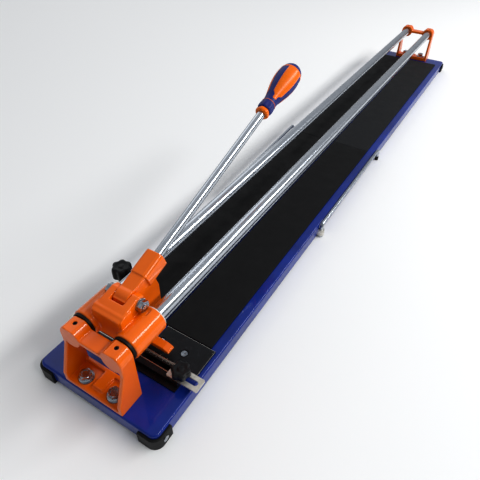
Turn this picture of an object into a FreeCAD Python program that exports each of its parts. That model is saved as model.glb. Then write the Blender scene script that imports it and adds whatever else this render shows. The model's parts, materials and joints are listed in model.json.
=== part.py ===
import FreeCAD, Part
import math
import os
import re

import Sketcher

# Manual tile cutter. Millimetres, +Z up, +Y along the rails from the parked
# end to the far end, +X to the right. The origin is on the bench, under the
# middle of the base.

os.makedirs("parts", exist_ok=True)
doc = FreeCAD.newDocument("tile_cutter")

# ---------------------------------------------------------------- dimensions
# Lengths "from the end" are measured from the near end of the base. Heights
# "over the bed" are measured from the top face of the base plate.

DIMENSIONS = {
    # base plate
    "BaseLength": 1330, "BaseWidth": 180, "BaseTop": 24, "SkirtClear": 3.5, "ScrewRadius": 2.5,
    "ScrewReach": 6, "ScrewKey": 3, "PlateHeadRadius": 4.2, "PlateHeadThick": 1.7,
    "PlateSeatRadius": 5.6, "PlateSeatDeep": 1.9, "FenceHeadRadius": 4.6, "FenceHeadThick": 2.4,
    "SheetGauge": 2, "BaseCorner": 9, "BendRadius": 3, "ChannelHalf": 13, "ChannelGauge": 1.5,
    "ChannelInset": 40,
    # rubber corner caps
    "CapWall": 3.2, "CapAlongX": 24, "CapAlongY": 24, "CapHeight": 19, "CapLip": 13,
    "CapScrewFromEnd": 12, "CapScrewHeight": 11, "CapScrewHead": 3.8, "CapScrewStem": 1.85,
    "CapHeadThick": 1.4, "CapRound": 1.6, "CapHole": 1.9, "CapTurn": 0.58,
    # bed
    "PadInner": 3.5, "PadOuter": 76.5, "PadThick": 3, "PadStart": 125, "PadSeam": 694,
    "PadEnd": 1282, "PadSeamGap": 0.6, "SnapBarWidth": 3, "SnapBarHeight": 3.6,
    "SnapBarInset": 38,
    # rails and end brackets
    "RailAxis": 97.7, "RailHalfGap": 29.5, "RailRadius": 9, "RailInset": 18.2, "RailFit": 0.03,
    "FootInset": 1, "FrameDepth": 33.5, "FrameHalf": 44, "WallThick": 5.5, "BossInset": 15,
    "BossRadius": 14.5, "BossFlat": 12.8, "WallKneeLow": 15, "WallKneeHigh": 56,
    "FloorThick": 5, "LipHigh": 9, "LipDepth": 5, "MidPadHalf": 7.5, "MidPadInset": 9,
    "BridgeLow": 71, "BridgeHigh": 77, "GrubRadius": 2.5, "GrubLength": 3, "GrubRow": 26.75,
    "GrubKey": 2.5, "GrubFit": 0.02, "SeatGap": 0.04, "BoltHalfGap": 22, "BoltInset": 13.8,
    "BoltRadius": 4, "BoltHole": 4.3, "BoltLength": 26, "FlangeRadius": 8.6, "FlangeThick": 1.6,
    "CastRound": 1.2, "HexFlats": 13, "HexHigh": 6, "WasherRadius": 9.6, "WasherThick": 1.6, "NutHigh": 6.5,
    # carriage
    "BarrelStart": 38, "BarrelLength": 47, "BarrelRadius": 16.8, "BushOuter": 12,
    "BushLength": 14, "BushFit": 0.05, "SealLength": 2.9, "SealRadius": 15,
    "EndRingLength": 1.6, "EndRingRadius": 14.8, "SaddleHalf": 19, "SaddleStart": 43,
    "SaddleFoot": 62, "SaddleFront": 100, "SaddleTop": 104, "SlotHalf": 9.7, "SlotStart": 62,
    "ShoulderHalf": 21.5, "ShoulderStart": 44.5, "ShoulderTop": 102.5, "EarRadius": 11,
    "PivotFromEnd": 77, "PivotOverBed": 97, "PivotRadius": 4, "PivotHole": 4.05,
    "PivotWasher": 8, "PivotWasherThick": 1.4, "PivotHeadFlats": 13, "PivotHeadHigh": 5.5,
    # lever
    "LeverAngle": 18.7, "HubRadius": 12, "HubHalf": 9.2, "NeckStart": 9, "NeckEnd": 30,
    "NeckHigh": 10, "SocketStart": 26, "SocketEnd": 58, "SocketHalf": 12, "SocketHigh": 11.5,
    "SocketRound": 6, "WebHalf": 6, "RodRadius": 6, "RodStart": 16, "RodFit": 0.03,
    "GripStart": 306, "GripLength": 102, "GripBoreEnd": 80, "RodEnd": 384, "CollarLength": 7,
    "CollarRadius": 10, "CoreRadius": 8.8, "SleeveStart": 5,
    # scoring wheel and breaker foot
    "WheelBack": 27, "WheelDown": 73, "WheelRadius": 11, "WheelThick": 3, "WheelBevel": 3,
    "AxleRadius": 3, "AxleHoleFit": 0.05, "ForkGap": 1.8, "AxleHead": 4.6, "FootNear": 7.4,
    "FootDepth": 11.2, "TongueFit": 0.4, "FootPinDown": 70.5, "FootPinRadius": 2.5,
    "FootPinFit": 0.05, "FootWingHalf": 33, "FootTipHalf": 43, "FootTopDown": 77.5,
    "FootThick": 6.5, "FootTipDown": 84.4, "LugThick": 3.6, "LugHalf": 6, "TongueDown": 75.5,
    # fence, plates and stops
    "FenceNear": 54, "FenceFar": 80, "FenceTop": 10, "FenceStep": 3, "FenceBody": 60,
    "SlotMid": 71, "SlotMouth": 3.5, "SlotRoom": 6, "SlotFloor": 3, "SlotLip": 7,
    "FenceGap": 10.2, "FenceRight": 74, "FenceLeft": 72, "FenceScrewOne": 24,
    "FenceScrewTwo": 56, "PlateNear": 80.4, "PlateFar": 123.5, "PlateOuter": 84,
    "PlateThick": 3, "PlateScrewOne": 18, "PlateScrewTwo": 53, "PlateScrewRow": 101,
    "StopBarHalf": 9, "StopBarInner": 56, "StopBarOuter": 99.5, "StopBarThick": 2,
    "StopSlotInner": 66, "StopSlotOuter": 95, "StudRadius": 2.95, "StudHole": 3,
    "StudSlot": 3.3, "StopKnobAt": 72, "StopKnobRadius": 12, "KnobLobes": 6, "StopKnobLow": 4,
    "StopKnobHigh": 12, "MitreKnobAt": 84, "MitreKnobRow": 147, "MitreKnobRadius": 14,
    "MitreKnobLow": 28, "MitreKnobHigh": 15, "MitreSleeveTop": 17, "KnobHubRadius": 7,
    "KnobRound": 1.8, "MitrePivotAt": 82, "MitrePivotRow": 70, "MitreLow": 3.4, "MitreThick": 2,
    "MitreSwing": 4.5, "MitreOuter": 106, "MitreInner": 74, "MitreWaist": 88,
    "MitreBroad": 70.5, "MitreNear": 63, "MitreShoulder": 128, "MitreHeadRadius": 6.5,
    "MitreHeadThick": 2.6, "MitreShoulderRadius": 4, "SpacerRadius": 7.5, "MitreFar": 166,
    # side supports
    "ArmAt": 93.8, "ArmPivotRow": 427, "ArmFarRow": 720, "ArmRadius": 3, "ArmHigh": 24.2,
    "ArmBend": 9, "ArmPivotFoot": 0.8, "ArmFarFoot": 3.5, "ArmFit": 0.05, "LugRadius": 5.6,
    "LugLow": 3.4, "LugHigh": 14, "RetainerThick": 1.8, "RetainerRadius": 5, "TipRadius": 3.5,
    "TipHigh": 8, "ArmRestAngle": 2,
}

sizes = doc.addObject("Spreadsheet::Sheet", "Sizes")
for row, (name, value) in enumerate(DIMENSIONS.items(), start=1):
    sizes.set("A%d" % row, name)
    sizes.set("B%d" % row, str(value))
    sizes.setAlias("B%d" % row, name)
doc.recompute()


def dim(name):
    """A driving dimension, read from the sheet."""
    return float(sizes.get(name))


def linked(text):
    """The expression with every dimension name pointed at the sheet."""
    return re.sub(r"\b([A-Z][A-Za-z]+)\b", r"Sizes.\1", str(text))


# ------------------------------------------------------------------- helpers

nodes = {}


def from_end(text, end=-1):
    """A length from the near end (or the far end), as a Y expression."""
    return "%d * (BaseLength / 2 - (%s))" % (end, text)


def over_bed(text):
    """A height over the bed, as a Z expression."""
    return "BaseTop + (%s)" % text


def bind(obj, **properties):
    for name, text in properties.items():
        obj.setExpression(name, linked(text))
    return obj


def place(obj, x="0", y="0", z="0"):
    for axis, text in (("x", x), ("y", y), ("z", z)):
        obj.setExpression("Placement.Base." + axis, linked(text))
    return obj


def node(obj, label):
    """Names a finished sub-part and marks it for export."""
    obj.Label = label
    nodes[label] = obj
    return obj


def box(name, x, y, z):
    """A box from three (low, high) pairs of expressions."""
    obj = doc.addObject("Part::Box", name)
    bind(obj, Length="(%s) - (%s)" % (x[1], x[0]), Width="(%s) - (%s)" % (y[1], y[0]),
         Height="(%s) - (%s)" % (z[1], z[0]))
    return place(obj, x[0], y[0], z[0])


TURNS = {"X": ((0, 1, 0), 90), "Y": ((1, 0, 0), -90), "Z": ((0, 0, 1), 0)}


def rod(name, radius, length, axis, at):
    """A cylinder that starts at a point and runs along +X, +Y or +Z."""
    obj = doc.addObject("Part::Cylinder", name)
    bind(obj, Radius=radius, Height=length)
    direction, angle = TURNS[axis]
    obj.Placement.Rotation = FreeCAD.Rotation(FreeCAD.Vector(*direction), angle)
    return place(obj, *at)


def hexagon(name, flats, height, axis, at):
    """A hexagonal prism, sized across its flats."""
    obj = doc.addObject("Part::Prism", name)
    obj.Polygon = 6
    bind(obj, Circumradius="(%s) / 3 ^ 0.5" % flats, Height=height)
    direction, angle = TURNS[axis]
    obj.Placement.Rotation = FreeCAD.Rotation(FreeCAD.Vector(*direction), angle)
    return place(obj, *at)


def fuse(name, pieces):
    obj = doc.addObject("Part::MultiFuse", name)
    obj.Shapes = pieces
    obj.Refine = True
    return obj


def cut(name, base, tools):
    tool = tools[0] if len(tools) == 1 else fuse(name + "_tools", tools)
    obj = doc.addObject("Part::Cut", name)
    obj.Base = base
    obj.Tool = tool
    obj.Refine = True
    return obj


def group(name, pieces):
    """Identical fasteners kept apart as separate solids of one sub-part."""
    obj = doc.addObject("Part::Compound", name)
    obj.Links = pieces
    return obj


def new_body(label, kept=True):
    """An empty body, which is a sub-part of its own if it is kept."""
    body = doc.addObject("PartDesign::Body", label)
    return node(body, label) if kept else body


def origin_part(body, role):
    for feature in body.Origin.OriginFeatures:
        if feature.Role == role:
            return feature
    raise ValueError("the body has no " + role)


def sketch_on(body, plane, offset):
    """A sketch parallel to XY, XZ or YZ, at an offset along that plane's normal."""
    sketch = body.newObject("Sketcher::SketchObject", body.Name + "_sketch")
    sketch.AttachmentSupport = [(origin_part(body, plane + "_Plane"), "")]
    sketch.MapMode = "FlatFace"
    sketch.setExpression("AttachmentOffset.Base.z", linked(offset))
    return sketch


def draw_outline(sketch, corners):
    """A closed outline whose every corner is held by two bound distances."""
    count = len(corners)
    first = sketch.GeometryCount
    ring = [FreeCAD.Vector(50 * math.cos(2 * math.pi * i / count),
                           50 * math.sin(2 * math.pi * i / count), 0) for i in range(count)]
    for i in range(count):
        sketch.addGeometry(Part.LineSegment(ring[i], ring[(i + 1) % count]), False)
    for i in range(count):
        following = first + (i + 1) % count
        sketch.addConstraint(Sketcher.Constraint("Coincident", first + i, 2, following, 1))
    for i, (across, up) in enumerate(corners):
        for kind, text in (("DistanceX", across), ("DistanceY", up)):
            held = sketch.addConstraint(Sketcher.Constraint(kind, -1, 1, first + i, 1, 1.0))
            sketch.setExpression("Constraints[%d]" % held, linked(text))


def draw_circle(sketch, centre, radius):
    index = sketch.addGeometry(Part.Circle(FreeCAD.Vector(5, 5, 0), FreeCAD.Vector(0, 0, 1), 3))
    values = (("DistanceX", centre[0]), ("DistanceY", centre[1]))
    for kind, text in values:
        held = sketch.addConstraint(Sketcher.Constraint(kind, -1, 1, index, 3, 1.0))
        sketch.setExpression("Constraints[%d]" % held, linked(text))
    held = sketch.addConstraint(Sketcher.Constraint("Radius", index, 3.0))
    sketch.setExpression("Constraints[%d]" % held, linked(radius))


def pad(body, plane, corners, low, high, circles=()):
    """Adds an extrusion between two positions along X, Y or Z."""
    offset = "-(%s)" % high if plane == "XZ" else low
    sketch = sketch_on(body, plane, offset)
    if corners:
        draw_outline(sketch, corners)
    for centre, radius in circles:
        draw_circle(sketch, centre, radius)
    feature = body.newObject("PartDesign::Pad", body.Name + "_pad")
    feature.Profile = sketch
    bind(feature, Length="(%s) - (%s)" % (high, low))
    return feature


def pocket(body, plane, corners, low, high, circles=()):
    """Cuts between two positions along X, Y or Z, and checks that it cut."""
    offset = "-(%s)" % low if plane == "XZ" else high
    sketch = sketch_on(body, plane, offset)
    if corners:
        draw_outline(sketch, corners)
    for centre, radius in circles:
        draw_circle(sketch, centre, radius)
    doc.recompute()
    before = body.Shape.Volume
    feature = body.newObject("PartDesign::Pocket", body.Name + "_pocket")
    feature.Profile = sketch
    bind(feature, Length="(%s) - (%s)" % (high, low))
    doc.recompute()
    if not body.Shape.Volume < before - 0.01:
        raise ValueError("a pocket of %s cuts nothing" % body.Name)
    return feature


def rectangle(x, y):
    return [(x[0], y[0]), (x[1], y[0]), (x[1], y[1]), (x[0], y[1])]


def picked_edges(shape, test):
    """Names of the edges whose middle point passes the test."""
    names = []
    for i, edge in enumerate(shape.Edges, start=1):
        middle = edge.valueAt((edge.FirstParameter + edge.LastParameter) / 2)
        if test(edge, middle):
            names.append("Edge%d" % i)
    return names


def round_edges(body, test, radius, kind="Fillet"):
    """Rounds (or chamfers) the chosen edges of a body's last feature."""
    doc.recompute()
    base = body.Tip
    names = picked_edges(base.Shape, test)
    if not names:
        raise ValueError("no edge of %s to round" % body.Name)
    feature = body.newObject("PartDesign::" + kind, body.Name + "_edges")
    feature.Base = (base, names)
    bind(feature, **{"Radius" if kind == "Fillet" else "Size": radius})
    doc.recompute()
    if "Invalid" in feature.State:
        raise ValueError("the edges of %s can't be rounded" % body.Name)
    return feature


def straight(edge, direction):
    """True for a straight edge along X, Y or Z."""
    if not isinstance(edge.Curve, Part.Line):
        return False
    return abs(abs(edge.Curve.Direction[direction]) - 1) < 1e-6


def near(value, target, slack=0.05):
    return abs(value - target) < slack


# ---------------------------------------------------------------- base

def make_base_plate():
    body = new_body("base_plate")
    half_x, half_y = "BaseWidth / 2", "BaseLength / 2"
    outline = rectangle(("-" + half_x, half_x), ("-" + half_y, half_y))
    pad(body, "XY", outline, "SkirtClear", "BaseTop")
    round_edges(body, lambda e, m: straight(e, 2), "BaseCorner")
    round_edges(body, lambda e, m: near(m.z, dim("BaseTop")), "BendRadius")
    wall_x, wall_y = "BaseWidth / 2 - SheetGauge", "BaseLength / 2 - SheetGauge"
    hollow = []
    for side, end in ((1, -1), (1, 1), (-1, 1), (-1, -1)):
        along = ("%d * (%s)" % (side, wall_x), "%d * (%s - BaseCorner)" % (end, wall_y))
        across = ("%d * (%s - BaseCorner)" % (side, wall_x), "%d * (%s)" % (end, wall_y))
        hollow += [along, across] if side == end else [across, along]
    pocket(body, "XY", hollow, "SkirtClear - 1", "BaseTop - SheetGauge")
    holes = []
    for side in (-1, 1):
        for end in (-1, 1):
            holes.append((("%d * BoltHalfGap" % side, from_end("BoltInset", end)), "BoltHole"))
        for at in ("FenceScrewOne", "FenceScrewTwo"):
            holes.append((("%d * %s" % (side, at), from_end("SlotMid")), "ScrewRadius"))
        for at in ("PlateScrewOne", "PlateScrewTwo"):
            holes.append((("%d * %s" % (side, at), from_end("PlateScrewRow")), "ScrewRadius"))
    holes.append((("-MitrePivotAt", from_end("MitrePivotRow")), "ScrewRadius"))
    holes.append((("-MitreKnobAt", from_end("MitreKnobRow")), "StudHole"))
    pocket(body, "XY", None, "BaseTop - 2 * SheetGauge", "BaseTop", holes)
    return body


def make_stiffening_channel():
    body = new_body("stiffening_channel")
    top = "BaseTop - SheetGauge"
    inner = "ChannelHalf - ChannelGauge"
    outline = [("-ChannelHalf", "0"), ("ChannelHalf", "0"), ("ChannelHalf", top),
               (inner, top), (inner, "ChannelGauge"), ("-(%s)" % inner, "ChannelGauge"),
               ("-(%s)" % inner, top), ("-ChannelHalf", top)]
    pad(body, "XZ", outline, from_end("ChannelInset"), from_end("ChannelInset", 1))
    round_edges(body, lambda e, m: straight(e, 1) and near(m.z, 0), "ChannelGauge")


def make_corner_cap(number, side, end):
    """A rubber foot that wraps one corner of the skirt and turns in under it."""
    body = new_body("corner_cap_%d" % number)
    skin_x = "%d * (BaseWidth / 2 + CapWall)" % side
    skin_y = "%d * (BaseLength / 2 + CapWall)" % end
    end_x = "%d * (BaseWidth / 2 - CapAlongX)" % side
    end_y = "%d * (BaseLength / 2 - CapAlongY)" % end
    lip_x = "%d * (BaseWidth / 2 - CapLip)" % side
    lip_y = "%d * (BaseLength / 2 - CapLip)" % end
    outline = [(end_x, skin_y), (skin_x, skin_y), (skin_x, end_y), (lip_x, end_y),
               (lip_x, lip_y), (end_x, lip_y)]
    pad(body, "XY", outline, "0", "CapHeight")
    corner = dim("BaseWidth") / 2 + dim("CapWall")
    round_edges(body, lambda e, m: straight(e, 2) and near(abs(m.x), corner)
                and abs(m.y) > dim("BaseLength") / 2, "BaseCorner + CapWall")
    round_edges(body, lambda e, m: near(m.z, dim("CapHeight")) and (
        abs(m.x) > dim("BaseWidth") / 2 or abs(m.y) > dim("BaseLength") / 2 or
        abs(m.x) + abs(m.y) > (dim("BaseWidth") + dim("BaseLength")) / 2 - 4), "CapRound")
    wall_x, wall_y = "%d * BaseWidth / 2" % side, "%d * BaseLength / 2" % end
    turn_x = "%d * (BaseWidth / 2 - CapTurn * BaseCorner)" % side
    turn_y = "%d * (BaseLength / 2 - CapTurn * BaseCorner)" % end
    deep_x, deep_y = "%d * BaseWidth / 4" % side, "%d * BaseLength / 4" % end
    inside = [(deep_x, wall_y), (turn_x, wall_y), (wall_x, turn_y),
              (wall_x, deep_y), (deep_x, deep_y)]
    pocket(body, "XY", inside, "SkirtClear", "CapHeight + 1")
    row = from_end("CapScrewFromEnd", end)
    low, high = "BaseWidth / 2 - 1", "BaseWidth / 2 + CapWall + 1"
    if side < 0:
        low, high = "-(%s)" % high, "-(%s)" % low
    pocket(body, "YZ", None, low, high, [((row, "CapScrewHeight"), "CapHole")])


def make_cap_screws():
    pieces = []
    for side in (-1, 1):
        for end in (-1, 1):
            row = from_end("CapScrewFromEnd", end)
            skin = "%d * (BaseWidth / 2 + CapWall)" % side
            tip = "%d * BaseWidth / 2" % side
            heads = (skin, "%s + CapHeadThick" % skin) if side > 0 else (
                "%s - CapHeadThick" % skin, skin)
            shank = (tip, skin) if side > 0 else (skin, tip)
            head = rod("cap_screw_head", "CapScrewHead", "CapHeadThick", "X",
                       (heads[0], row, "CapScrewHeight"))
            stem = rod("cap_screw_stem", "CapScrewStem", "(%s) - (%s)" % (shank[1], shank[0]), "X",
                       (shank[0], row, "CapScrewHeight"))
            pieces.append(fuse("cap_screw", [head, stem]))
    node(group("cap_screws", pieces), "cap_screws")


# ---------------------------------------------------------------- bed

def make_bed():
    half = "SnapBarWidth / 2"
    bar = box("breaker_bar", ("-" + half, half),
              (from_end("SnapBarInset"), from_end("SnapBarInset", 1)),
              ("BaseTop", over_bed("SnapBarHeight")))
    node(bar, "breaker_bar")
    spans = {"near": (from_end("PadStart"), from_end("PadSeam")),
             "far": (from_end("PadSeam + PadSeamGap"), from_end("PadEnd"))}
    for place_name, span in spans.items():
        for side_name, across in (("left", ("-PadOuter", "-PadInner")),
                                  ("right", ("PadInner", "PadOuter"))):
            label = "pad_%s_%s" % (side_name, place_name)
            node(box(label, across, span, ("BaseTop", over_bed("PadThick"))), label)


# ---------------------------------------------------------------- rail frame

def make_end_bracket(label, end):
    """A four-sided cast frame: floor, two raked walls, two bosses and a bridge."""
    body = new_body(label)
    back = from_end("FootInset", end)
    front = from_end("FootInset + FrameDepth", end)
    boss = from_end("BossInset", end)
    low, high = (back, front) if end < 0 else (front, back)
    boss_low, boss_high = (boss, front) if end < 0 else (front, boss)
    wall = [(back, "BaseTop"), (front, "BaseTop"), (front, "RailAxis"), (boss, "RailAxis"),
            (boss, over_bed("WallKneeHigh")), (back, over_bed("WallKneeLow"))]
    pad(body, "YZ", wall, "FrameHalf - WallThick", "FrameHalf")
    pad(body, "YZ", wall, "-FrameHalf", "WallThick - FrameHalf")
    floor = rectangle(("-FrameHalf", "FrameHalf"), ("BaseTop", over_bed("FloorThick")))
    pad(body, "XZ", floor, low, high)
    bosses = [(("%d * RailHalfGap" % side, "RailAxis"), "BossRadius") for side in (-1, 1)]
    pad(body, "XZ", None, boss_low, boss_high, bosses)
    bridge = rectangle(("-RailHalfGap", "RailHalfGap"),
                       (over_bed("BridgeLow"), over_bed("BridgeHigh")))
    pad(body, "XZ", bridge, boss_low, boss_high)
    lip = from_end("FootInset + FrameDepth - LipDepth", end)
    lip_low, lip_high = (lip, front) if end < 0 else (front, lip)
    upper = (over_bed("FloorThick"), over_bed("LipHigh"))
    inner = "FrameHalf - WallThick"
    pad(body, "XZ", rectangle(("-(%s)" % inner, inner), upper), lip_low, lip_high)
    mid = from_end("MidPadInset", end)
    mid_low, mid_high = (mid, lip) if end < 0 else (lip, mid)
    pad(body, "XZ", rectangle(("-MidPadHalf", "MidPadHalf"), upper), mid_low, mid_high)
    flat = rectangle(("-FrameHalf", "FrameHalf"), ("RailAxis + BossFlat", "RailAxis + BossRadius + 1"))
    pocket(body, "XZ", flat, boss_low, boss_high)
    bore = from_end("RailInset - 0.2", end)
    bore_low, bore_high = (bore, front) if end < 0 else (front, bore)
    bores = [(spot, "RailRadius + RailFit") for spot, _ in bosses]
    pocket(body, "XZ", None, bore_low, bore_high, bores)
    grub = from_end("GrubRow", end)
    grubs = [(("%d * RailHalfGap" % side, grub), "GrubRadius") for side in (-1, 1)]
    pocket(body, "XY", None, "RailAxis", "RailAxis + BossFlat", grubs)
    row = from_end("BoltInset", end)
    bolts = [(("%d * BoltHalfGap" % side, row), "BoltHole") for side in (-1, 1)]
    pocket(body, "XY", None, "BaseTop", over_bed("FloorThick"), bolts)

    def outer_corner(edge, middle):
        on_wall = near(abs(middle.x), dim("FrameHalf"))
        return on_wall and middle.z > dim("BaseTop") + 2 and middle.z < dim("RailAxis") - 0.5
    round_edges(body, outer_corner, "1.25 * CastRound")


def make_rail_frame():
    make_end_bracket("near_bracket", -1)
    make_end_bracket("far_bracket", 1)
    grubs = []
    seat = "RailAxis + RailRadius + SeatGap"
    for side_name, side in (("left", -1), ("right", 1)):
        at = "%d * RailHalfGap" % side
        rail = rod("rail_" + side_name, "RailRadius", "BaseLength - 2 * RailInset", "Y",
                   (at, from_end("RailInset"), "RailAxis"))
        node(rail, "rail_" + side_name)
        for end in (-1, 1):
            screw = rod("grub", "GrubRadius - GrubFit", "GrubLength", "Z",
                        (at, from_end("GrubRow", end), seat))
            key = hexagon("grub_key", "GrubKey", "GrubLength / 2", "Z",
                          (at, from_end("GrubRow", end), seat + " + GrubLength / 2"))
            grubs.append(cut("grub_screw", screw, [key]))
    node(group("rail_set_screws", grubs), "rail_set_screws")
    bolts = []
    washers = []
    nuts = []
    seat = over_bed("FloorThick")
    for side in (-1, 1):
        for end in (-1, 1):
            at = ("%d * BoltHalfGap" % side, from_end("BoltInset", end))
            washer = rod("washer", "WasherRadius", "WasherThick", "Z", (*at, seat))
            hole = rod("washer_hole", "BoltHole", "WasherThick", "Z", (*at, seat))
            washers.append(cut("plain_washer", washer, [hole]))
            top = seat + " + WasherThick"
            flange = rod("flange", "FlangeRadius", "FlangeThick", "Z", (*at, top))
            head = hexagon("bolt_head", "HexFlats", "HexHigh", "Z", (*at, top + " + FlangeThick"))
            dish = rod("head_dish", "HexFlats / 3", "1", "Z",
                       (*at, top + " + FlangeThick + HexHigh - 1"))
            shank = rod("shank", "BoltRadius", "BoltLength", "Z", (*at, top + " - BoltLength"))
            bolts.append(cut("hex_bolt", fuse("bolt_blank", [flange, head, shank]), [dish]))
            under = "BaseTop - SheetGauge - NutHigh"
            nut = hexagon("nut", "HexFlats", "NutHigh", "Z", (*at, under))
            thread = rod("nut_hole", "BoltRadius", "NutHigh", "Z", (*at, under))
            nuts.append(cut("hex_nut", nut, [thread]))
    node(group("bracket_bolts", bolts), "bracket_bolts")
    node(group("bracket_washers", washers), "bracket_washers")
    node(group("bracket_nuts", nuts), "bracket_nuts")


# ---------------------------------------------------------------- carriage

PIVOT_Y = from_end("PivotFromEnd")
PIVOT_Z = over_bed("PivotOverBed")


def make_carriage():
    start, stop = from_end("BarrelStart"), from_end("BarrelStart + BarrelLength")
    body = new_body("carriage_body")
    barrels = [(("%d * RailHalfGap" % side, "RailAxis"), "BarrelRadius") for side in (-1, 1)]
    pad(body, "XZ", None, start, stop, barrels)
    saddle = [(from_end("SaddleStart + 2"), over_bed("SaddleFoot")),
              (from_end("SaddleStart"), over_bed("SaddleFront")),
              (from_end("SlotStart - 4"), over_bed("SaddleTop")),
              (PIVOT_Y, over_bed("PivotOverBed + EarRadius")),
              (PIVOT_Y + " + EarRadius * 0.7", over_bed("PivotOverBed + EarRadius * 0.7")),
              (stop, over_bed("PivotOverBed - 3")),
              (stop, over_bed("SaddleFoot"))]
    pad(body, "YZ", saddle, "-SaddleHalf", "SaddleHalf")
    shoulder = [(from_end("ShoulderStart"), over_bed("SaddleFoot")),
                (from_end("ShoulderStart"), over_bed("ShoulderTop - 3")),
                (from_end("ShoulderStart + 5"), over_bed("ShoulderTop")),
                (from_end("SlotStart"), over_bed("ShoulderTop")),
                (from_end("SlotStart"), over_bed("SaddleFoot"))]
    pad(body, "YZ", shoulder, "-ShoulderHalf", "ShoulderHalf")
    slot = rectangle(("-SlotHalf", "SlotHalf"), (from_end("SlotStart"), stop + " + EarRadius"))
    pocket(body, "XY", slot, "BaseTop", over_bed("PivotOverBed + 2 * EarRadius"))
    bores = [(spot, "BushOuter") for spot, _ in barrels]
    pocket(body, "XZ", None, start, stop, bores)
    pocket(body, "YZ", None, "-2 * SaddleHalf", "2 * SaddleHalf",
           [((PIVOT_Y, PIVOT_Z), "PivotHole")])
    for low, high in (("SaddleHalf", "SaddleHalf + 11"), ("-SaddleHalf - 11", "-SaddleHalf")):
        pocket(body, "YZ", None, low, high, [((PIVOT_Y, PIVOT_Z), "PivotWasher + 1")])

    def ear_edge(edge, middle):
        behind = middle.y > dim("SlotStart") - dim("BaseLength") / 2 + 1
        return near(abs(middle.x), dim("SaddleHalf")) and behind and middle.z > dim("BaseTop") + 96
    round_edges(body, ear_edge, "CastRound")

    def barrel_end(edge, middle):
        away = math.hypot(abs(middle.x) - dim("RailHalfGap"), middle.z - dim("RailAxis"))
        low = -dim("BaseLength") / 2 + dim("BarrelStart")
        return near(away, dim("BarrelRadius")) and near(middle.y, low)
    round_edges(body, barrel_end, "CastRound")

    bushes, seals, rings = [], [], []
    for side in (-1, 1):
        at = "%d * RailHalfGap" % side
        for low in (start, stop + " - BushLength"):
            outer = rod("bush_outer", "BushOuter", "BushLength", "Y", (at, low, "RailAxis"))
            inner = rod("bush_bore", "RailRadius + BushFit", "BushLength", "Y", (at, low, "RailAxis"))
            bushes.append(cut("bush", outer, [inner]))
        for pieces, low, length, radius in (
                (seals, start + " - SealLength", "SealLength", "SealRadius"),
                (rings, stop, "EndRingLength", "EndRingRadius")):
            outer = rod("ring_outer", radius, length, "Y", (at, low, "RailAxis"))
            inner = rod("ring_bore", "RailRadius + 0.5", length, "Y", (at, low, "RailAxis"))
            pieces.append(cut("ring", outer, [inner]))
    node(group("slide_bushes", bushes), "slide_bushes")
    node(group("wiper_seals", seals), "wiper_seals")
    node(group("end_rings", rings), "end_rings")

    face = "SaddleHalf + PivotWasherThick"
    washers = []
    for low in ("-(%s)" % face, "SaddleHalf"):
        outer = rod("pivot_washer_outer", "PivotWasher", "PivotWasherThick", "X",
                    (low, PIVOT_Y, PIVOT_Z))
        inner = rod("pivot_washer_hole", "PivotHole", "PivotWasherThick", "X",
                    (low, PIVOT_Y, PIVOT_Z))
        washers.append(cut("pivot_washer", outer, [inner]))
    node(group("pivot_washers", washers), "pivot_washers")
    shank = rod("pivot_shank", "PivotRadius", "2 * (%s) + PivotHeadHigh + 1" % face, "X",
                ("-(%s)" % face, PIVOT_Y, PIVOT_Z))
    head = hexagon("pivot_head", "PivotHeadFlats", "PivotHeadHigh", "X",
                   ("-(%s) - PivotHeadHigh" % face, PIVOT_Y, PIVOT_Z))
    node(fuse("pivot_bolt", [shank, head]), "pivot_bolt")
    nut = hexagon("pivot_nut_blank", "PivotHeadFlats", "PivotHeadHigh", "X", (face, PIVOT_Y, PIVOT_Z))
    thread = rod("pivot_nut_hole", "PivotRadius", "PivotHeadHigh", "X", (face, PIVOT_Y, PIVOT_Z))
    node(cut("pivot_nut", nut, [thread]), "pivot_nut")


# ---------------------------------------------------------------- lever

def along_lever(obj):
    """Puts a piece made along +Y from the pivot on the raised lever's line."""
    obj.Placement.Rotation = FreeCAD.Rotation(FreeCAD.Vector(1, 0, 0), 0)
    obj.setExpression("Placement.Rotation.Angle", linked("LeverAngle * 1 deg"))
    obj.setExpression("Placement.Base.y", linked(PIVOT_Y))
    obj.setExpression("Placement.Base.z", linked(PIVOT_Z))
    return obj


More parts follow.
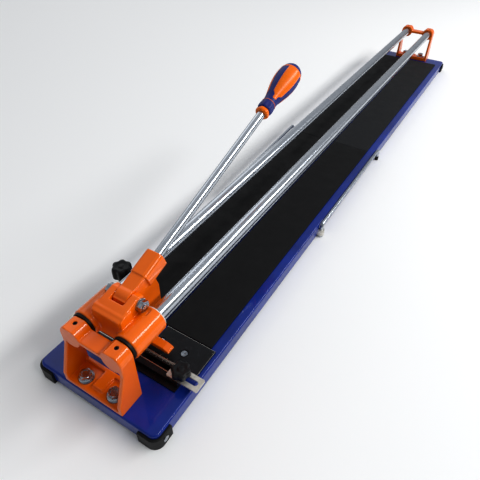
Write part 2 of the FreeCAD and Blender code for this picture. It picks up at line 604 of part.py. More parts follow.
def make_lever_casting():
    def at(back, down):
        return (PIVOT_Y + " + (%s)" % back, PIVOT_Z + " - (%s)" % down)

    web = new_body("lever_web", kept=False)
    axle = at("-WheelBack", "WheelDown")
    foot_near, foot_far = "FootNear + TongueFit", "FootNear + FootDepth - TongueFit"
    outline = [at("-8.5", "0"), at("-8.5", "38"), at("-WheelBack - 5", "54"),
               at("-WheelBack - 7", "WheelDown - 4"), at("-WheelBack - 4", "WheelDown + 6"),
               at("-WheelBack + 5", "WheelDown + 6"), at("-9", "62"), at(foot_near, "60"),
               at(foot_near, "TongueDown"), at(foot_far, "TongueDown"), at(foot_far, "62"),
               at("36", "55"), at("46", "46"), at("46", "17"), at("40", "-3"), at("14", "-6")]
    pad(web, "YZ", outline, "-WebHalf", "WebHalf")
    wheel_room = [at("-WheelBack - 16", "WheelDown - 13"), at("-WheelBack + 13", "WheelDown - 13"),
                  at("-WheelBack + 13", "WheelDown + 16"), at("-WheelBack - 16", "WheelDown + 16")]
    pocket(web, "YZ", wheel_room, "-ForkGap", "ForkGap")
    pocket(web, "YZ", None, "-WebHalf", "WebHalf", [(axle, "AxleRadius")])
    pin = rod("foot_pin_hole", "FootPinRadius", "FootDepth + 4", "Y",
              ("0", PIVOT_Y + " + FootNear - 2", PIVOT_Z + " - FootPinDown"))

    hub = rod("hub", "HubRadius", "2 * HubHalf", "X", ("-HubHalf", PIVOT_Y, PIVOT_Z))
    neck = box("neck", ("-HubHalf", "HubHalf"), ("-NeckStart", "NeckEnd"), ("-NeckHigh", "NeckHigh"))
    socket = box("socket_block", ("-SocketHalf", "SocketHalf"), ("SocketStart", "SocketEnd"),
                 ("-SocketHigh", "SocketHigh"))
    doc.recompute()
    rounded = doc.addObject("Part::Fillet", "socket_rounded")
    rounded.Base = socket
    long_edges = [i for i, edge in enumerate(socket.Shape.Edges, start=1) if straight(edge, 1)]
    rounded.Edges = [(i, dim("SocketRound"), dim("SocketRound")) for i in long_edges]
    beam = along_lever(fuse("beam", [neck, rounded]))
    blank = fuse("lever_blank", [web, hub, beam])
    pivot_hole = rod("lever_pivot_hole", "PivotRadius + 0.05", "4 * HubHalf", "X",
                     ("-2 * HubHalf", PIVOT_Y, PIVOT_Z))
    bore = rod("rod_bore", "RodRadius + RodFit", "SocketEnd - RodStart + 1", "Y", ("0", "RodStart", "0"))
    screw = rod("rod_screw_hole", "GrubRadius", "SocketHigh + 1", "Z",
                ("0", "SocketEnd - 14", "-SocketHigh - 1"))
    drilled = along_lever(fuse("rod_bore_set", [bore, screw]))
    node(cut("lever_casting", blank, [pivot_hole, drilled, pin]), "lever_casting")


def revolve_profile(label, profile):
    """A body turned about its own Y axis from a (radius, along) outline."""
    body = new_body(label)
    sketch = sketch_on(body, "XY", "0")
    draw_outline(sketch, profile)
    turn = body.newObject("PartDesign::Revolution", body.Name + "_turn")
    turn.Profile = sketch
    turn.ReferenceAxis = (sketch, ["V_Axis"])
    turn.Angle = 360
    return body


GRIP_SHAPE = (
    # (share of the length, radius): waist behind the guard, then the palm swell
    (0.00, 10.2), (0.03, 11.0), (0.10, 11.1), (0.17, 10.3), (0.25, 10.6), (0.36, 12.9),
    (0.50, 15.8), (0.64, 17.4), (0.78, 17.2), (0.89, 15.0), (0.96, 10.6), (1.00, 4.0),
)


def make_lever_parts():
    steel = rod("lever_rod", "RodRadius", "RodEnd - RodStart - 0.1", "Y", ("0", "RodStart + 0.1", "0"))
    node(steel, "lever_rod")
    steel.Placement = FreeCAD.Placement()
    tilt = FreeCAD.Rotation(FreeCAD.Vector(1, 0, 0), dim("LeverAngle") - 90)
    steel.Placement.Rotation = tilt
    reach = "(RodStart + 0.1)"
    steel.setExpression("Placement.Base.x", None)
    steel.setExpression("Placement.Base.y", linked(PIVOT_Y + " + %s * cos(LeverAngle * 1 deg)" % reach))
    steel.setExpression("Placement.Base.z", linked(PIVOT_Z + " + %s * sin(LeverAngle * 1 deg)" % reach))

    grub = rod("rod_grub", "GrubRadius - GrubFit", "SocketHigh - RodRadius - 1.5", "Z",
               ("0", "SocketEnd - 14", "-SocketHigh + 1"))
    key = hexagon("rod_grub_key", "GrubKey", "1.5", "Z", ("0", "SocketEnd - 14", "-SocketHigh + 1"))
    node(along_lever(cut("rod_set_screw", grub, [key])), "rod_set_screw")

    start, collar = "GripStart", "GripStart + CollarLength"
    body = revolve_profile("grip_collar", [
        ("RodRadius + RodFit", start), ("CollarRadius - 1.5", start), ("CollarRadius", start + " + 1.5"),
        ("CollarRadius", collar), ("RodRadius + RodFit", collar)])
    along_lever(body)
    end = "GripStart + GripLength"
    bore_end = "GripStart + GripBoreEnd"
    body = revolve_profile("grip_core", [
        ("RodRadius + RodFit", collar), ("CoreRadius", collar), ("CoreRadius", end + " - 8"),
        ("0", end + " - 8"), ("0", bore_end), ("RodRadius + RodFit", bore_end)])
    along_lever(body)
    profile = [("CoreRadius", collar)]
    for share, radius in GRIP_SHAPE:
        at = "%s + %s * (GripLength - CollarLength)" % (collar, share)
        profile.append((str(radius), at))
    profile += [("0", end), ("0", end + " - 8"), ("CoreRadius", end + " - 8")]
    body = revolve_profile("grip_sleeve", profile)
    along_lever(body)


def make_wheel_and_foot():
    axle_y, axle_z = PIVOT_Y + " - WheelBack", PIVOT_Z + " - WheelDown"
    stem = rod("axle_stem", "AxleRadius", "2 * WebHalf + 2", "X", ("-WebHalf - 1", axle_y, axle_z))
    heads = [rod("axle_head", "AxleHead", "1.4", "X", (low, axle_y, axle_z))
             for low in ("WebHalf", "-WebHalf - 1.4")]
    node(fuse("wheel_axle", [stem] + heads), "wheel_axle")

    wheel = new_body("scoring_wheel")
    half = "WheelThick / 2"
    bore = "AxleRadius + AxleHoleFit"
    shoulder = "WheelRadius - WheelBevel / 2"
    sketch = sketch_on(wheel, "XY", "0")
    draw_outline(sketch, [("-" + half, bore), (half, bore), (half, shoulder), ("0.15", "WheelRadius"),
                          ("-0.15", "WheelRadius"), ("-" + half, shoulder)])
    turn = wheel.newObject("PartDesign::Revolution", "scoring_wheel_turn")
    turn.Profile = sketch
    turn.ReferenceAxis = (sketch, ["H_Axis"])
    turn.Angle = 360
    place(wheel, "0", axle_y, axle_z)

    near_side, far_side = PIVOT_Y + " + FootNear", PIVOT_Y + " + FootNear + FootDepth"
    foot = new_body("breaker_foot")
    top, low = PIVOT_Z + " - FootTopDown", PIVOT_Z + " - FootTopDown - FootThick"
    tip = PIVOT_Z + " - FootTipDown"
    wing = [("-FootWingHalf", low), ("FootWingHalf", low), ("FootTipHalf - 4", tip + " - 0.4"),
            ("FootTipHalf", tip + " + 1.5"), ("FootTipHalf - 1", tip + " + 4"),
            ("FootWingHalf + 1", top), ("-FootWingHalf - 1", top), ("1 - FootTipHalf", tip + " + 4"),
            ("-FootTipHalf", tip + " + 1.5"), ("4 - FootTipHalf", tip + " - 0.4")]
    pad(foot, "XZ", wing, near_side, far_side)
    lug_top = PIVOT_Z + " - FootPinDown + 5"
    lug = rectangle(("-LugHalf", "LugHalf"), (low, lug_top))
    pad(foot, "XZ", lug, near_side + " - LugThick", near_side)
    pad(foot, "XZ", lug, far_side, far_side + " + LugThick")
    pocket(foot, "XZ", None, near_side + " - LugThick", far_side + " + LugThick",
           [(("0", PIVOT_Z + " - FootPinDown"), "FootPinRadius + FootPinFit")])
    pin = rod("foot_pin", "FootPinRadius", "FootDepth + 2 * LugThick + 1.6", "Y",
              ("0", near_side + " - LugThick - 0.8", PIVOT_Z + " - FootPinDown"))
    node(pin, "foot_pin")


# ---------------------------------------------------------------- fence and stops

def make_fence():
    mouth = ("SlotMid - SlotMouth", "SlotMid + SlotMouth")
    room = ("SlotMid - SlotRoom", "SlotMid + SlotRoom")
    outline = [("FenceNear", "0"), ("FenceFar", "0"), ("FenceFar", "FenceTop"), (mouth[1], "FenceTop"),
               (mouth[1], "SlotLip"), (room[1], "SlotLip"), (room[1], "SlotFloor"),
               (room[0], "SlotFloor"), (room[0], "SlotLip"), (mouth[0], "SlotLip"),
               (mouth[0], "FenceTop"), ("FenceBody", "FenceTop"), ("FenceBody", "FenceStep"),
               ("FenceNear", "FenceStep")]
    corners = [(from_end(back), over_bed(up)) for back, up in outline]
    halves = (("fence_left", "-FenceLeft", "-FenceGap", -1), ("fence_right", "FenceGap", "FenceRight", 1))
    screws = []
    for label, low, high, side in halves:
        body = new_body(label)
        pad(body, "YZ", corners, low, high)
        row = from_end("SlotMid")
        spots = [("%d * %s" % (side, at), row) for at in ("FenceScrewOne", "FenceScrewTwo")]
        pocket(body, "XY", None, "BaseTop", over_bed("SlotFloor"),
               [(spot, "ScrewRadius") for spot in spots])
        for spot in spots:
            head = rod("screw_head", "FenceHeadRadius", "FenceHeadThick", "Z",
                       (*spot, over_bed("SlotFloor")))
            stem = rod("screw_stem", "ScrewRadius", "SlotFloor + ScrewReach", "Z",
                       (*spot, "BaseTop - ScrewReach"))
            socket = hexagon("screw_key", "ScrewKey", "FenceHeadThick - 1", "Z",
                             (*spot, over_bed("SlotFloor + 1")))
            screws.append(cut("fence_screw", fuse("fence_screw_blank", [head, stem]), [socket]))
    node(group("fence_screws", screws), "fence_screws")


def make_ruler_plates():
    screws = []
    row = from_end("PlateScrewRow")
    span = (from_end("PlateNear"), from_end("PlateFar"))
    for label, across, side in (("ruler_plate_left", ("-PlateOuter", "-FenceGap"), -1),
                                ("ruler_plate_right", ("FenceGap", "PlateOuter"), 1)):
        body = new_body(label)
        pad(body, "XY", rectangle(across, span), "BaseTop", over_bed("PlateThick"))
        spots = [("%d * %s" % (side, at), row) for at in ("PlateScrewOne", "PlateScrewTwo")]
        pocket(body, "XY", None, "BaseTop", over_bed("PlateThick"),
               [(spot, "ScrewRadius") for spot in spots])
        pocket(body, "XY", None, over_bed("PlateThick - PlateSeatDeep"), over_bed("PlateThick"),
               [(spot, "PlateSeatRadius") for spot in spots])
        for spot in spots:
            head = rod("plate_screw_head", "PlateHeadRadius", "PlateHeadThick", "Z",
                       (*spot, over_bed("PlateThick - PlateSeatDeep")))
            stem = rod("plate_screw_stem", "ScrewRadius", "ScrewReach + 2", "Z",
                       (*spot, "BaseTop - ScrewReach"))
            key = hexagon("plate_screw_key", "ScrewKey", "1", "Z", (*spot, over_bed("PlateThick - 1.2")))
            screws.append(cut("plate_screw", fuse("plate_screw_blank", [head, stem]), [key]))
    node(group("ruler_plate_screws", screws), "ruler_plate_screws")


def make_knob(label, at, hub_low, low, high, radius):
    """A clamp knob built about the Z axis, then moved to its stud."""
    body = new_body(label)
    pad(body, "XY", None, low, high, [(("0", "0"), "%s * 0.82" % radius)])
    lobe_sketch = sketch_on(body, "XY", low)
    draw_circle(lobe_sketch, ("%s * 0.7" % radius, "0"), "%s * 0.3" % radius)
    lobe = body.newObject("PartDesign::Pad", label + "_lobe")
    lobe.Profile = lobe_sketch
    bind(lobe, Length="(%s) - (%s)" % (high, low))
    doc.recompute()
    ring = body.newObject("PartDesign::PolarPattern", label + "_lobes")
    ring.Originals = [lobe]
    ring.Axis = (origin_part(body, "Z_Axis"), [""])
    ring.Angle = 360
    bind(ring, Occurrences="KnobLobes")
    body.Tip = ring
    doc.recompute()
    top = max(vertex.Z for vertex in body.Shape.Vertexes)
    round_edges(body, lambda e, m: near(m.z, top), "KnobRound")
    pad(body, "XY", None, hub_low, low, [(("0", "0"), "KnobHubRadius")])
    pocket(body, "XY", None, hub_low, "(%s) - 3" % high, [(("0", "0"), "StudRadius")])
    place(body, at[0], at[1], "0")
    return body


def make_stop_bar():
    bar = new_body("stop_bar")
    mid = from_end("SlotMid")
    low = over_bed("FenceTop + 0.05")
    high = low + " + StopBarThick"
    outline = rectangle(("StopBarInner", "StopBarOuter"),
                        (mid + " - StopBarHalf", mid + " + StopBarHalf"))
    pad(bar, "XY", outline, low, high)
    round_edges(bar, lambda e, m: straight(e, 2), "2")
    pocket(bar, "XY", rectangle(("StopSlotInner + StudSlot", "StopSlotOuter - StudSlot"),
                                (mid + " - StudSlot", mid + " + StudSlot")), low, high)
    pocket(bar, "XY", None, low, high, [(("StopSlotInner + StudSlot", mid), "StudSlot"),
                                        (("StopSlotOuter - StudSlot", mid), "StudSlot")])
    knob_low = high + " + 1.6"
    make_knob("stop_knob", ("StopKnobAt", mid), high + " + 0.1", knob_low + " + 1.5",
              knob_low + " + StopKnobHigh", "StopKnobRadius")
    foot = over_bed("SlotFloor + 0.2")
    node(rod("stop_stud", "StudRadius", "(%s) - 3 + StopKnobHigh + 1.6 - (%s)" % (high, foot), "Z",
             ("StopKnobAt", mid, foot)), "stop_stud")
    nut = box("tnut_block", ("StopKnobAt - 6", "StopKnobAt + 1.9"),
              (mid + " - SlotRoom + 0.3", mid + " + SlotRoom - 0.3"),
              (over_bed("SlotFloor + 0.1"), over_bed("SlotLip - 0.1")))
    hole = rod("tnut_hole", "StudHole", "6", "Z", ("StopKnobAt", mid, over_bed("SlotFloor - 1")))
    node(cut("stop_tnut", nut, [hole]), "stop_tnut")


def make_mitre_plate():
    row, knob_row = from_end("MitrePivotRow"), from_end("MitreKnobRow")
    low, high = over_bed("MitreLow"), over_bed("MitreLow + MitreThick")
    outline = [("-MitreInner", from_end("MitreNear")), ("-MitreInner", from_end("MitreWaist")),
               ("-MitreBroad", from_end("MitreWaist + 4")), ("-MitreBroad", from_end("MitreFar")),
               ("-MitreKnobAt - 3", from_end("MitreFar")),
               ("-MitreOuter + 6", from_end("MitreKnobRow - 4")),
               ("-MitreOuter", from_end("MitreShoulder")), ("-MitreOuter", from_end("MitreNear"))]
    blank = new_body("mitre_blank", kept=False)
    pad(blank, "XY", outline, low, high)
    round_edges(blank, lambda e, m: straight(e, 2) and abs(m.x) > dim("MitreInner") + 1, "3")
    reach = "((MitreKnobRow - MitrePivotRow) ^ 2 + (MitreKnobAt - MitrePivotAt) ^ 2) ^ 0.5"
    span = "(2 * MitreSwing)"
    lean = "atan((MitreKnobAt - MitrePivotAt) / (MitreKnobRow - MitrePivotRow))"
    ring = []
    for name, radius in (("slot_outer", "%s + StudSlot" % reach), ("slot_inner", "%s - StudSlot" % reach)):
        piece = doc.addObject("Part::Cylinder", name)
        bind(piece, Radius=radius, Height="MitreThick + 2", Angle=span)
        piece.Placement.Rotation = FreeCAD.Rotation(FreeCAD.Vector(0, 0, 1), 90)
        piece.setExpression("Placement.Rotation.Angle", linked("90 deg + %s - MitreSwing * 1 deg" % lean))
        place(piece, "-MitrePivotAt", row, low + " - 1")
        ring.append(piece)
    arc = cut("slot_arc", ring[0], [ring[1]])
    ends = []
    for turn in (-1, 1):
        angle = "(90 deg + %s + %d * MitreSwing * 1 deg)" % (lean, turn)
        ends.append(rod("slot_end", "StudSlot", "MitreThick + 2", "Z",
                        ("-MitrePivotAt + %s * cos(%s)" % (reach, angle),
                         row + " + %s * sin(%s)" % (reach, angle), low + " - 1")))
    pivot = rod("mitre_pivot_hole", "MitreShoulderRadius + 0.05", "MitreThick + 2", "Z",
                ("-MitrePivotAt", row, low + " - 1"))
    node(cut("mitre_plate", blank, [arc, pivot] + ends), "mitre_plate")

    spacers = []
    for at, hole in ((("-MitrePivotAt", row), "MitreShoulderRadius"),
                     (("-MitreKnobAt", knob_row), "StudHole")):
        ring = rod("spacer", "SpacerRadius", "MitreLow - 0.05", "Z", (*at, "BaseTop"))
        bore = rod("spacer_bore", hole, "MitreLow", "Z", (*at, "BaseTop"))
        spacers.append(cut("spacer_ring", ring, [bore]))
    sleeve = rod("sleeve", "SpacerRadius", "MitreSleeveTop - MitreLow - MitreThick - 0.1", "Z",
                 ("-MitreKnobAt", knob_row, high + " + 0.1"))
    bore = rod("sleeve_bore", "StudHole", "MitreSleeveTop", "Z", ("-MitreKnobAt", knob_row, "BaseTop"))
    spacers.append(cut("sleeve_ring", sleeve, [bore]))
    node(group("mitre_spacers", spacers), "mitre_spacers")
    shoulder = rod("shoulder", "MitreShoulderRadius", "MitreLow + MitreThick + 0.1", "Z",
                   ("-MitrePivotAt", row, "BaseTop"))
    stem = rod("mitre_screw_stem", "ScrewRadius", "ScrewReach", "Z",
               ("-MitrePivotAt", row, "BaseTop - ScrewReach"))
    head = rod("mitre_screw_head", "MitreHeadRadius", "MitreHeadThick", "Z",
               ("-MitrePivotAt", row, high + " + 0.1"))
    key = hexagon("mitre_screw_key", "4", "MitreHeadThick - 1", "Z",
                  ("-MitrePivotAt", row, high + " + 1.1"))
    node(cut("mitre_pivot_screw", fuse("mitre_screw_blank", [shoulder, stem, head]), [key]),
         "mitre_pivot_screw")
    hub_low = over_bed("MitreSleeveTop + 0.1")
    knob_low = over_bed("MitreKnobLow")
    make_knob("mitre_knob", ("-MitreKnobAt", knob_row), hub_low, knob_low,
              knob_low + " + MitreKnobHigh", "MitreKnobRadius")
    node(rod("mitre_stud", "StudRadius", "MitreKnobLow + MitreKnobHigh - 3 + 7", "Z",
             ("-MitreKnobAt", knob_row, "BaseTop - 7")), "mitre_stud")


# ---------------------------------------------------------------- side supports

def make_side_support(name, side):
    row, far = from_end("ArmPivotRow"), from_end("ArmFarRow")
    at = "%d * ArmAt" % side
    arm = new_body("support_arm_" + name)
    path = sketch_on(arm, "YZ", "0")
    run = "(ArmFarRow - ArmPivotRow)"
    corners = [("0", "ArmPivotFoot"), ("0", "ArmHigh - ArmBend"), ("ArmBend", "ArmHigh"),
               (run + " - ArmBend", "ArmHigh"), (run, "ArmHigh - ArmBend"), (run, "ArmFarFoot")]
    length = dim("ArmFarRow") - dim("ArmPivotRow")
    bend, high = dim("ArmBend"), dim("ArmHigh")
    points = [(0, dim("ArmPivotFoot")), (0, high - bend), (bend, high), (length - bend, high),
              (length, high - bend), (length, dim("ArmFarFoot"))]
    spots = [FreeCAD.Vector(u, v, 0) for u, v in points]
    root_half = math.sqrt(0.5)
    arcs = {1: FreeCAD.Vector(bend * (1 - root_half), high - bend * (1 - root_half), 0),
            3: FreeCAD.Vector(length - bend * (1 - root_half), high - bend * (1 - root_half), 0)}
    for i in range(len(spots) - 1):
        if i in arcs:
            path.addGeometry(Part.Arc(spots[i], arcs[i], spots[i + 1]), False)
        else:
            path.addGeometry(Part.LineSegment(spots[i], spots[i + 1]), False)
    profile = sketch_on(arm, "XY", "ArmPivotFoot")
    draw_circle(profile, ("0", "0"), "ArmRadius")
    doc.recompute()
    pipe = arm.newObject("PartDesign::AdditivePipe", arm.Name + "_pipe")
    pipe.Profile = profile
    pipe.Spine = path
    doc.recompute()
    place(arm, at, row, "0")
    if side < 0:
        arm.Placement.Rotation = FreeCAD.Rotation(FreeCAD.Vector(0, 0, 1), dim("ArmRestAngle"))

    wall = "%d * BaseWidth / 2" % side
    block = box("lug_block", (at, wall) if side < 0 else (wall, at),
                (row + " - LugRadius", row + " + LugRadius"), ("LugLow", "LugHigh"))
    eye = rod("lug_eye", "LugRadius", "LugHigh - LugLow", "Z", (at, row, "LugLow"))
    hole = rod("lug_hole", "ArmRadius + ArmFit", "LugHigh", "Z", (at, row, "0"))
    trim = box("lug_trim", ("-BaseWidth / 2", "BaseWidth / 2"),
               (row + " - 3 * LugRadius", row + " + 3 * LugRadius"), ("0", "BaseTop"))
    node(cut("arm_lug_" + name, fuse("lug_blank", [block, eye]), [hole, trim]), "arm_lug_" + name)

    collar = rod("collar", "RetainerRadius", "RetainerThick", "Z", (at, row, "ArmPivotFoot + 0.4"))
    bore = rod("collar_bore", "ArmRadius", "RetainerThick", "Z", (at, row, "ArmPivotFoot + 0.4"))
    node(cut("arm_retainer_" + name, collar, [bore]), "arm_retainer_" + name)

    turn = "(%d * ArmRestAngle * 1 deg)" % (1 if side < 0 else 0)
    tip_at = (at + " - %s * sin(%s)" % (run, turn), row + " + %s * cos(%s)" % (run, turn))
    tip = rod("tip_outer", "TipRadius", "TipHigh", "Z", (*tip_at, "0.5"))
    hold = rod("tip_bore", "ArmRadius", "TipHigh", "Z", (*tip_at, "ArmFarFoot"))
    node(cut("arm_tip_" + name, tip, [hold]), "arm_tip_" + name)


# ---------------------------------------------------------------- build and write

def check_document():
    for obj in doc.Objects:
        if "Invalid" in obj.State or "Error" in obj.State:
            raise ValueError("%s failed: %s" % (obj.Name, obj.State))


make_base_plate()
make_stiffening_channel()
for cap_number, (cap_side, cap_end) in enumerate(((-1, -1), (1, -1), (-1, 1), (1, 1)), start=1):
    make_corner_cap(cap_number, cap_side, cap_end)
make_cap_screws()
make_bed()
make_rail_frame()
make_carriage()
make_lever_casting()
make_lever_parts()
make_wheel_and_foot()
make_fence()
make_ruler_plates()
make_stop_bar()
make_mitre_plate()
make_side_support("left", -1)
make_side_support("right", 1)

doc.recompute()
check_document()
for label, obj in nodes.items():
    shape = obj.Shape
    if shape.isNull() or not shape.isValid():
        raise ValueError(label + " has no valid shape")
for label, obj in nodes.items():
    obj.Shape.exportStep("parts/%s.step" % label)
print(len(nodes), "sub-parts")
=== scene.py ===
"""Looks of a manual tile cutter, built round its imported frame.

Everything is in metres, in the frame's own axes: X to the right, Y along the
rails from the parked end to the far end, Z up, with the bench at zero.
"""

from __future__ import annotations

import json
import logging
import math
from dataclasses import dataclass, field
from enum import Enum
from typing import Sequence

import bmesh
import bpy
import numpy as np
from mathutils import Matrix, Vector

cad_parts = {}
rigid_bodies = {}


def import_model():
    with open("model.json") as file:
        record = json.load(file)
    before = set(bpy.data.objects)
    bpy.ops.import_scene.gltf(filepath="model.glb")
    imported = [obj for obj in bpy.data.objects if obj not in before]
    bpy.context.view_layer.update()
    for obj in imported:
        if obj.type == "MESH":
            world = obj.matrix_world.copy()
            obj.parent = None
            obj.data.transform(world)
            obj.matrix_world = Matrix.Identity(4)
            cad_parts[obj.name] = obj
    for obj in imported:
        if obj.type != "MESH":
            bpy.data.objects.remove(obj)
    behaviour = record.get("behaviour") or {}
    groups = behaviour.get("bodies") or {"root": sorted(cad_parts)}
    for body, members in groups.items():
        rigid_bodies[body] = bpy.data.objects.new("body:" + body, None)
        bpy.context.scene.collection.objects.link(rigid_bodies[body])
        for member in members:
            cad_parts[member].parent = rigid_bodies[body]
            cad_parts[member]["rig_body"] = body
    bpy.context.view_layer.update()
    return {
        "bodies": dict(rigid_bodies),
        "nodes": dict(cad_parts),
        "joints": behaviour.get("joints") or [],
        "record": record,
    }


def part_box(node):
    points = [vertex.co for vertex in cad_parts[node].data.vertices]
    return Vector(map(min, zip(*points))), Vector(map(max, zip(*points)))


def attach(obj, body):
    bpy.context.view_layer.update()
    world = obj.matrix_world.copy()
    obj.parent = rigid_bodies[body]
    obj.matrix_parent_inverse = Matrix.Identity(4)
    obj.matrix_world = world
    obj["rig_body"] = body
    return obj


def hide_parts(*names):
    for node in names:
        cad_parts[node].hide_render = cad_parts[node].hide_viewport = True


LOG = logging.getLogger("tile_cutter")
MM = 0.001
COLLAR_LENGTH = 7 * MM
BUTT_LENGTH = 8 * MM

Array = np.ndarray
Node = bpy.types.Node
Socket = bpy.types.NodeSocket


# ------------------------------------------------------------------ small tools

def linear(code: str) -> tuple[float, float, float, float]:
    """Turns an sRGB hex colour into linear light.

    Args:
        code: six hex digits, with or without a hash.

    Returns:
        Red, green and blue in linear light, and an alpha of one.
    """
    digits = code.lstrip("#")
    channels = []
    for start in (0, 2, 4):
        value = int(digits[start:start + 2], 16) / 255
        channels.append(value / 12.92 if value <= 0.04045 else ((value + 0.055) / 1.055) ** 2.4)
    return (*channels, 1.0)


def per_metre(millimetres: float) -> float:
    """The texture scale whose features are about this many millimetres across."""
    return 1000.0 / millimetres


def add_node(tree: bpy.types.NodeTree, kind: str, inputs: dict | None = None,
             **settings: object) -> Node:
    """Adds one node, with its settings, socket values and links.

    Args:
        tree: the material's or world's node tree.
        kind: the node's type name.
        inputs: socket name or number, and the value or the output socket that feeds it.
        settings: the node's own attributes.

    Returns:
        The new node.
    """
    node = tree.nodes.new(kind)
    for name, value in settings.items():
        setattr(node, name, value)
    for key, value in (inputs or {}).items():
        if isinstance(value, bpy.types.NodeSocket):
            tree.links.new(value, node.inputs[key])
        else:
            node.inputs[key].default_value = value
    return node


@dataclass
class Palette:
    """A material that is being made: its tree, its shader and its coordinates.

    Attributes:
        material: the Blender material.
        tree: its node tree.
        shader: its Principled shader.
        coords: the object's own coordinates, in metres.
    """

    material: bpy.types.Material
    tree: bpy.types.NodeTree
    shader: Node
    coords: Socket

    @classmethod
    def start(cls, name: str, metallic: float, roughness: float) -> "Palette":
        """Starts a material with one shader and object coordinates.

        Args:
            name: the finish's plain name.
            metallic: the shader's metallic value.
            roughness: the shader's roughness where nothing is linked.

        Returns:
            The started material.
        """
        material = bpy.data.materials.new(name)
        material.use_nodes = True
        tree = material.node_tree
        tree.nodes.clear()
        shader = add_node(tree, "ShaderNodeBsdfPrincipled",
                          {"Metallic": metallic, "Roughness": roughness})
        add_node(tree, "ShaderNodeOutputMaterial", {"Surface": shader.outputs[0]})
        coords = add_node(tree, "ShaderNodeTexCoord").outputs["Object"]
        return cls(material, tree, shader, coords)

    def feed(self, socket: str, source: Socket) -> None:
        """Links a source to one of the shader's sockets."""
        self.tree.links.new(source, self.shader.inputs[socket])

    def noise(self, size_mm: float, detail: float, roughness: float = 0.5,
              vector: Socket | None = None) -> Socket:
        """Noise whose features are about a size across.

        Args:
            size_mm: the size of the features.
            detail: how many finer layers lie on it.
            roughness: how strong the finer layers are.
            vector: the coordinates, or None for the object's own.

        Returns:
            The noise.
        """
        return add_node(self.tree, "ShaderNodeTexNoise",
                        {"Vector": vector or self.coords, "Scale": per_metre(size_mm),
                         "Detail": detail, "Roughness": roughness}).outputs[0]

    def ramp(self, source: Socket, low: float, high: float, at_low: float,
             at_high: float) -> Socket:
        """A source that is stretched from one range of values to another."""
        return add_node(self.tree, "ShaderNodeMapRange",
                        {0: source, 1: low, 2: high, 3: at_low, 4: at_high}).outputs[0]

    def blend(self, share: Socket, first: object, second: str) -> Socket:
        """A colour or socket with a share of a second colour over it."""
        under = linear(first) if isinstance(first, str) else first
        return add_node(self.tree, "ShaderNodeMix", {0: share, 6: under, 7: linear(second)},
                        data_type="RGBA").outputs[2]

    def emboss(self, height: Socket, strength: float, depth: float) -> None:
        """Bumps the surface by a height.

        Args:
            height: the source of the height.
            strength: how strong the bump is.
            depth: how deep a full step is, in metres.
        """
        skin = add_node(self.tree, "ShaderNodeBump",
                        {"Height": height, "Strength": strength, "Distance": depth})
        self.feed("Normal", skin.outputs[0])


# -------------------------------------------------------------------- finishes

@dataclass(frozen=True)
class StovedEnamel:
    """Gloss enamel sprayed on steel or a casting and baked.

    The eye gets a deep colour under a clear skin, a faint orange peel in the
    reflections, slow colour drift where the coat is thicker, fine dust, and a
    paler rub along outside edges.

    Attributes:
        name: the material's name.
        colour: the coat's main colour.
        deep: the coat where it lies thicker.
        rubbed: the coat on rubbed outside edges.
        peel_mm: the size of the orange peel.
        roughness: the coat's lowest and highest roughness.
        coat: the weight of the clear skin.
        rub: how much of the edge colour shows.
    """

    name: str
    colour: str
    deep: str
    rubbed: str
    peel_mm: float = 2.2
    roughness: tuple[float, float] = (0.2, 0.34)
    coat: float = 0.45
    rub: float = 0.35

    def material(self) -> bpy.types.Material:
        """Builds the enamel.

        Returns:
            The material.
        """
        p = Palette.start(self.name, 0.0, self.roughness[0])
        depth = p.ramp(p.noise(55, 3.0), 0.35, 0.68, 0.0, 1.0)
        coat = p.blend(depth, self.colour, self.deep)
        shape = add_node(p.tree, "ShaderNodeNewGeometry")
        scuffs = p.noise(6, 6.0, 0.65)
        edge = p.ramp(shape.outputs["Pointiness"], 0.55, 0.66, 0.0, self.rub)
        broken = add_node(p.tree, "ShaderNodeMath", {0: edge, 1: scuffs}, operation="MULTIPLY")
        worn = p.blend(broken.outputs[0], coat, self.rubbed)
        specks = p.ramp(p.noise(1.6, 2.0), 0.68, 0.8, 0.0, 0.03)
        p.feed("Base Color", p.blend(specks, worn, self.rubbed))
        p.feed("Roughness", p.ramp(scuffs, 0.35, 0.75, *self.roughness))
        p.emboss(p.noise(self.peel_mm, 1.0), 0.12, 0.1 * MM)
        p.shader.inputs["Coat Weight"].default_value = self.coat
        p.shader.inputs["Coat Roughness"].default_value = 0.05
        p.shader.inputs["Specular IOR Level"].default_value = 0.15
        return p.material


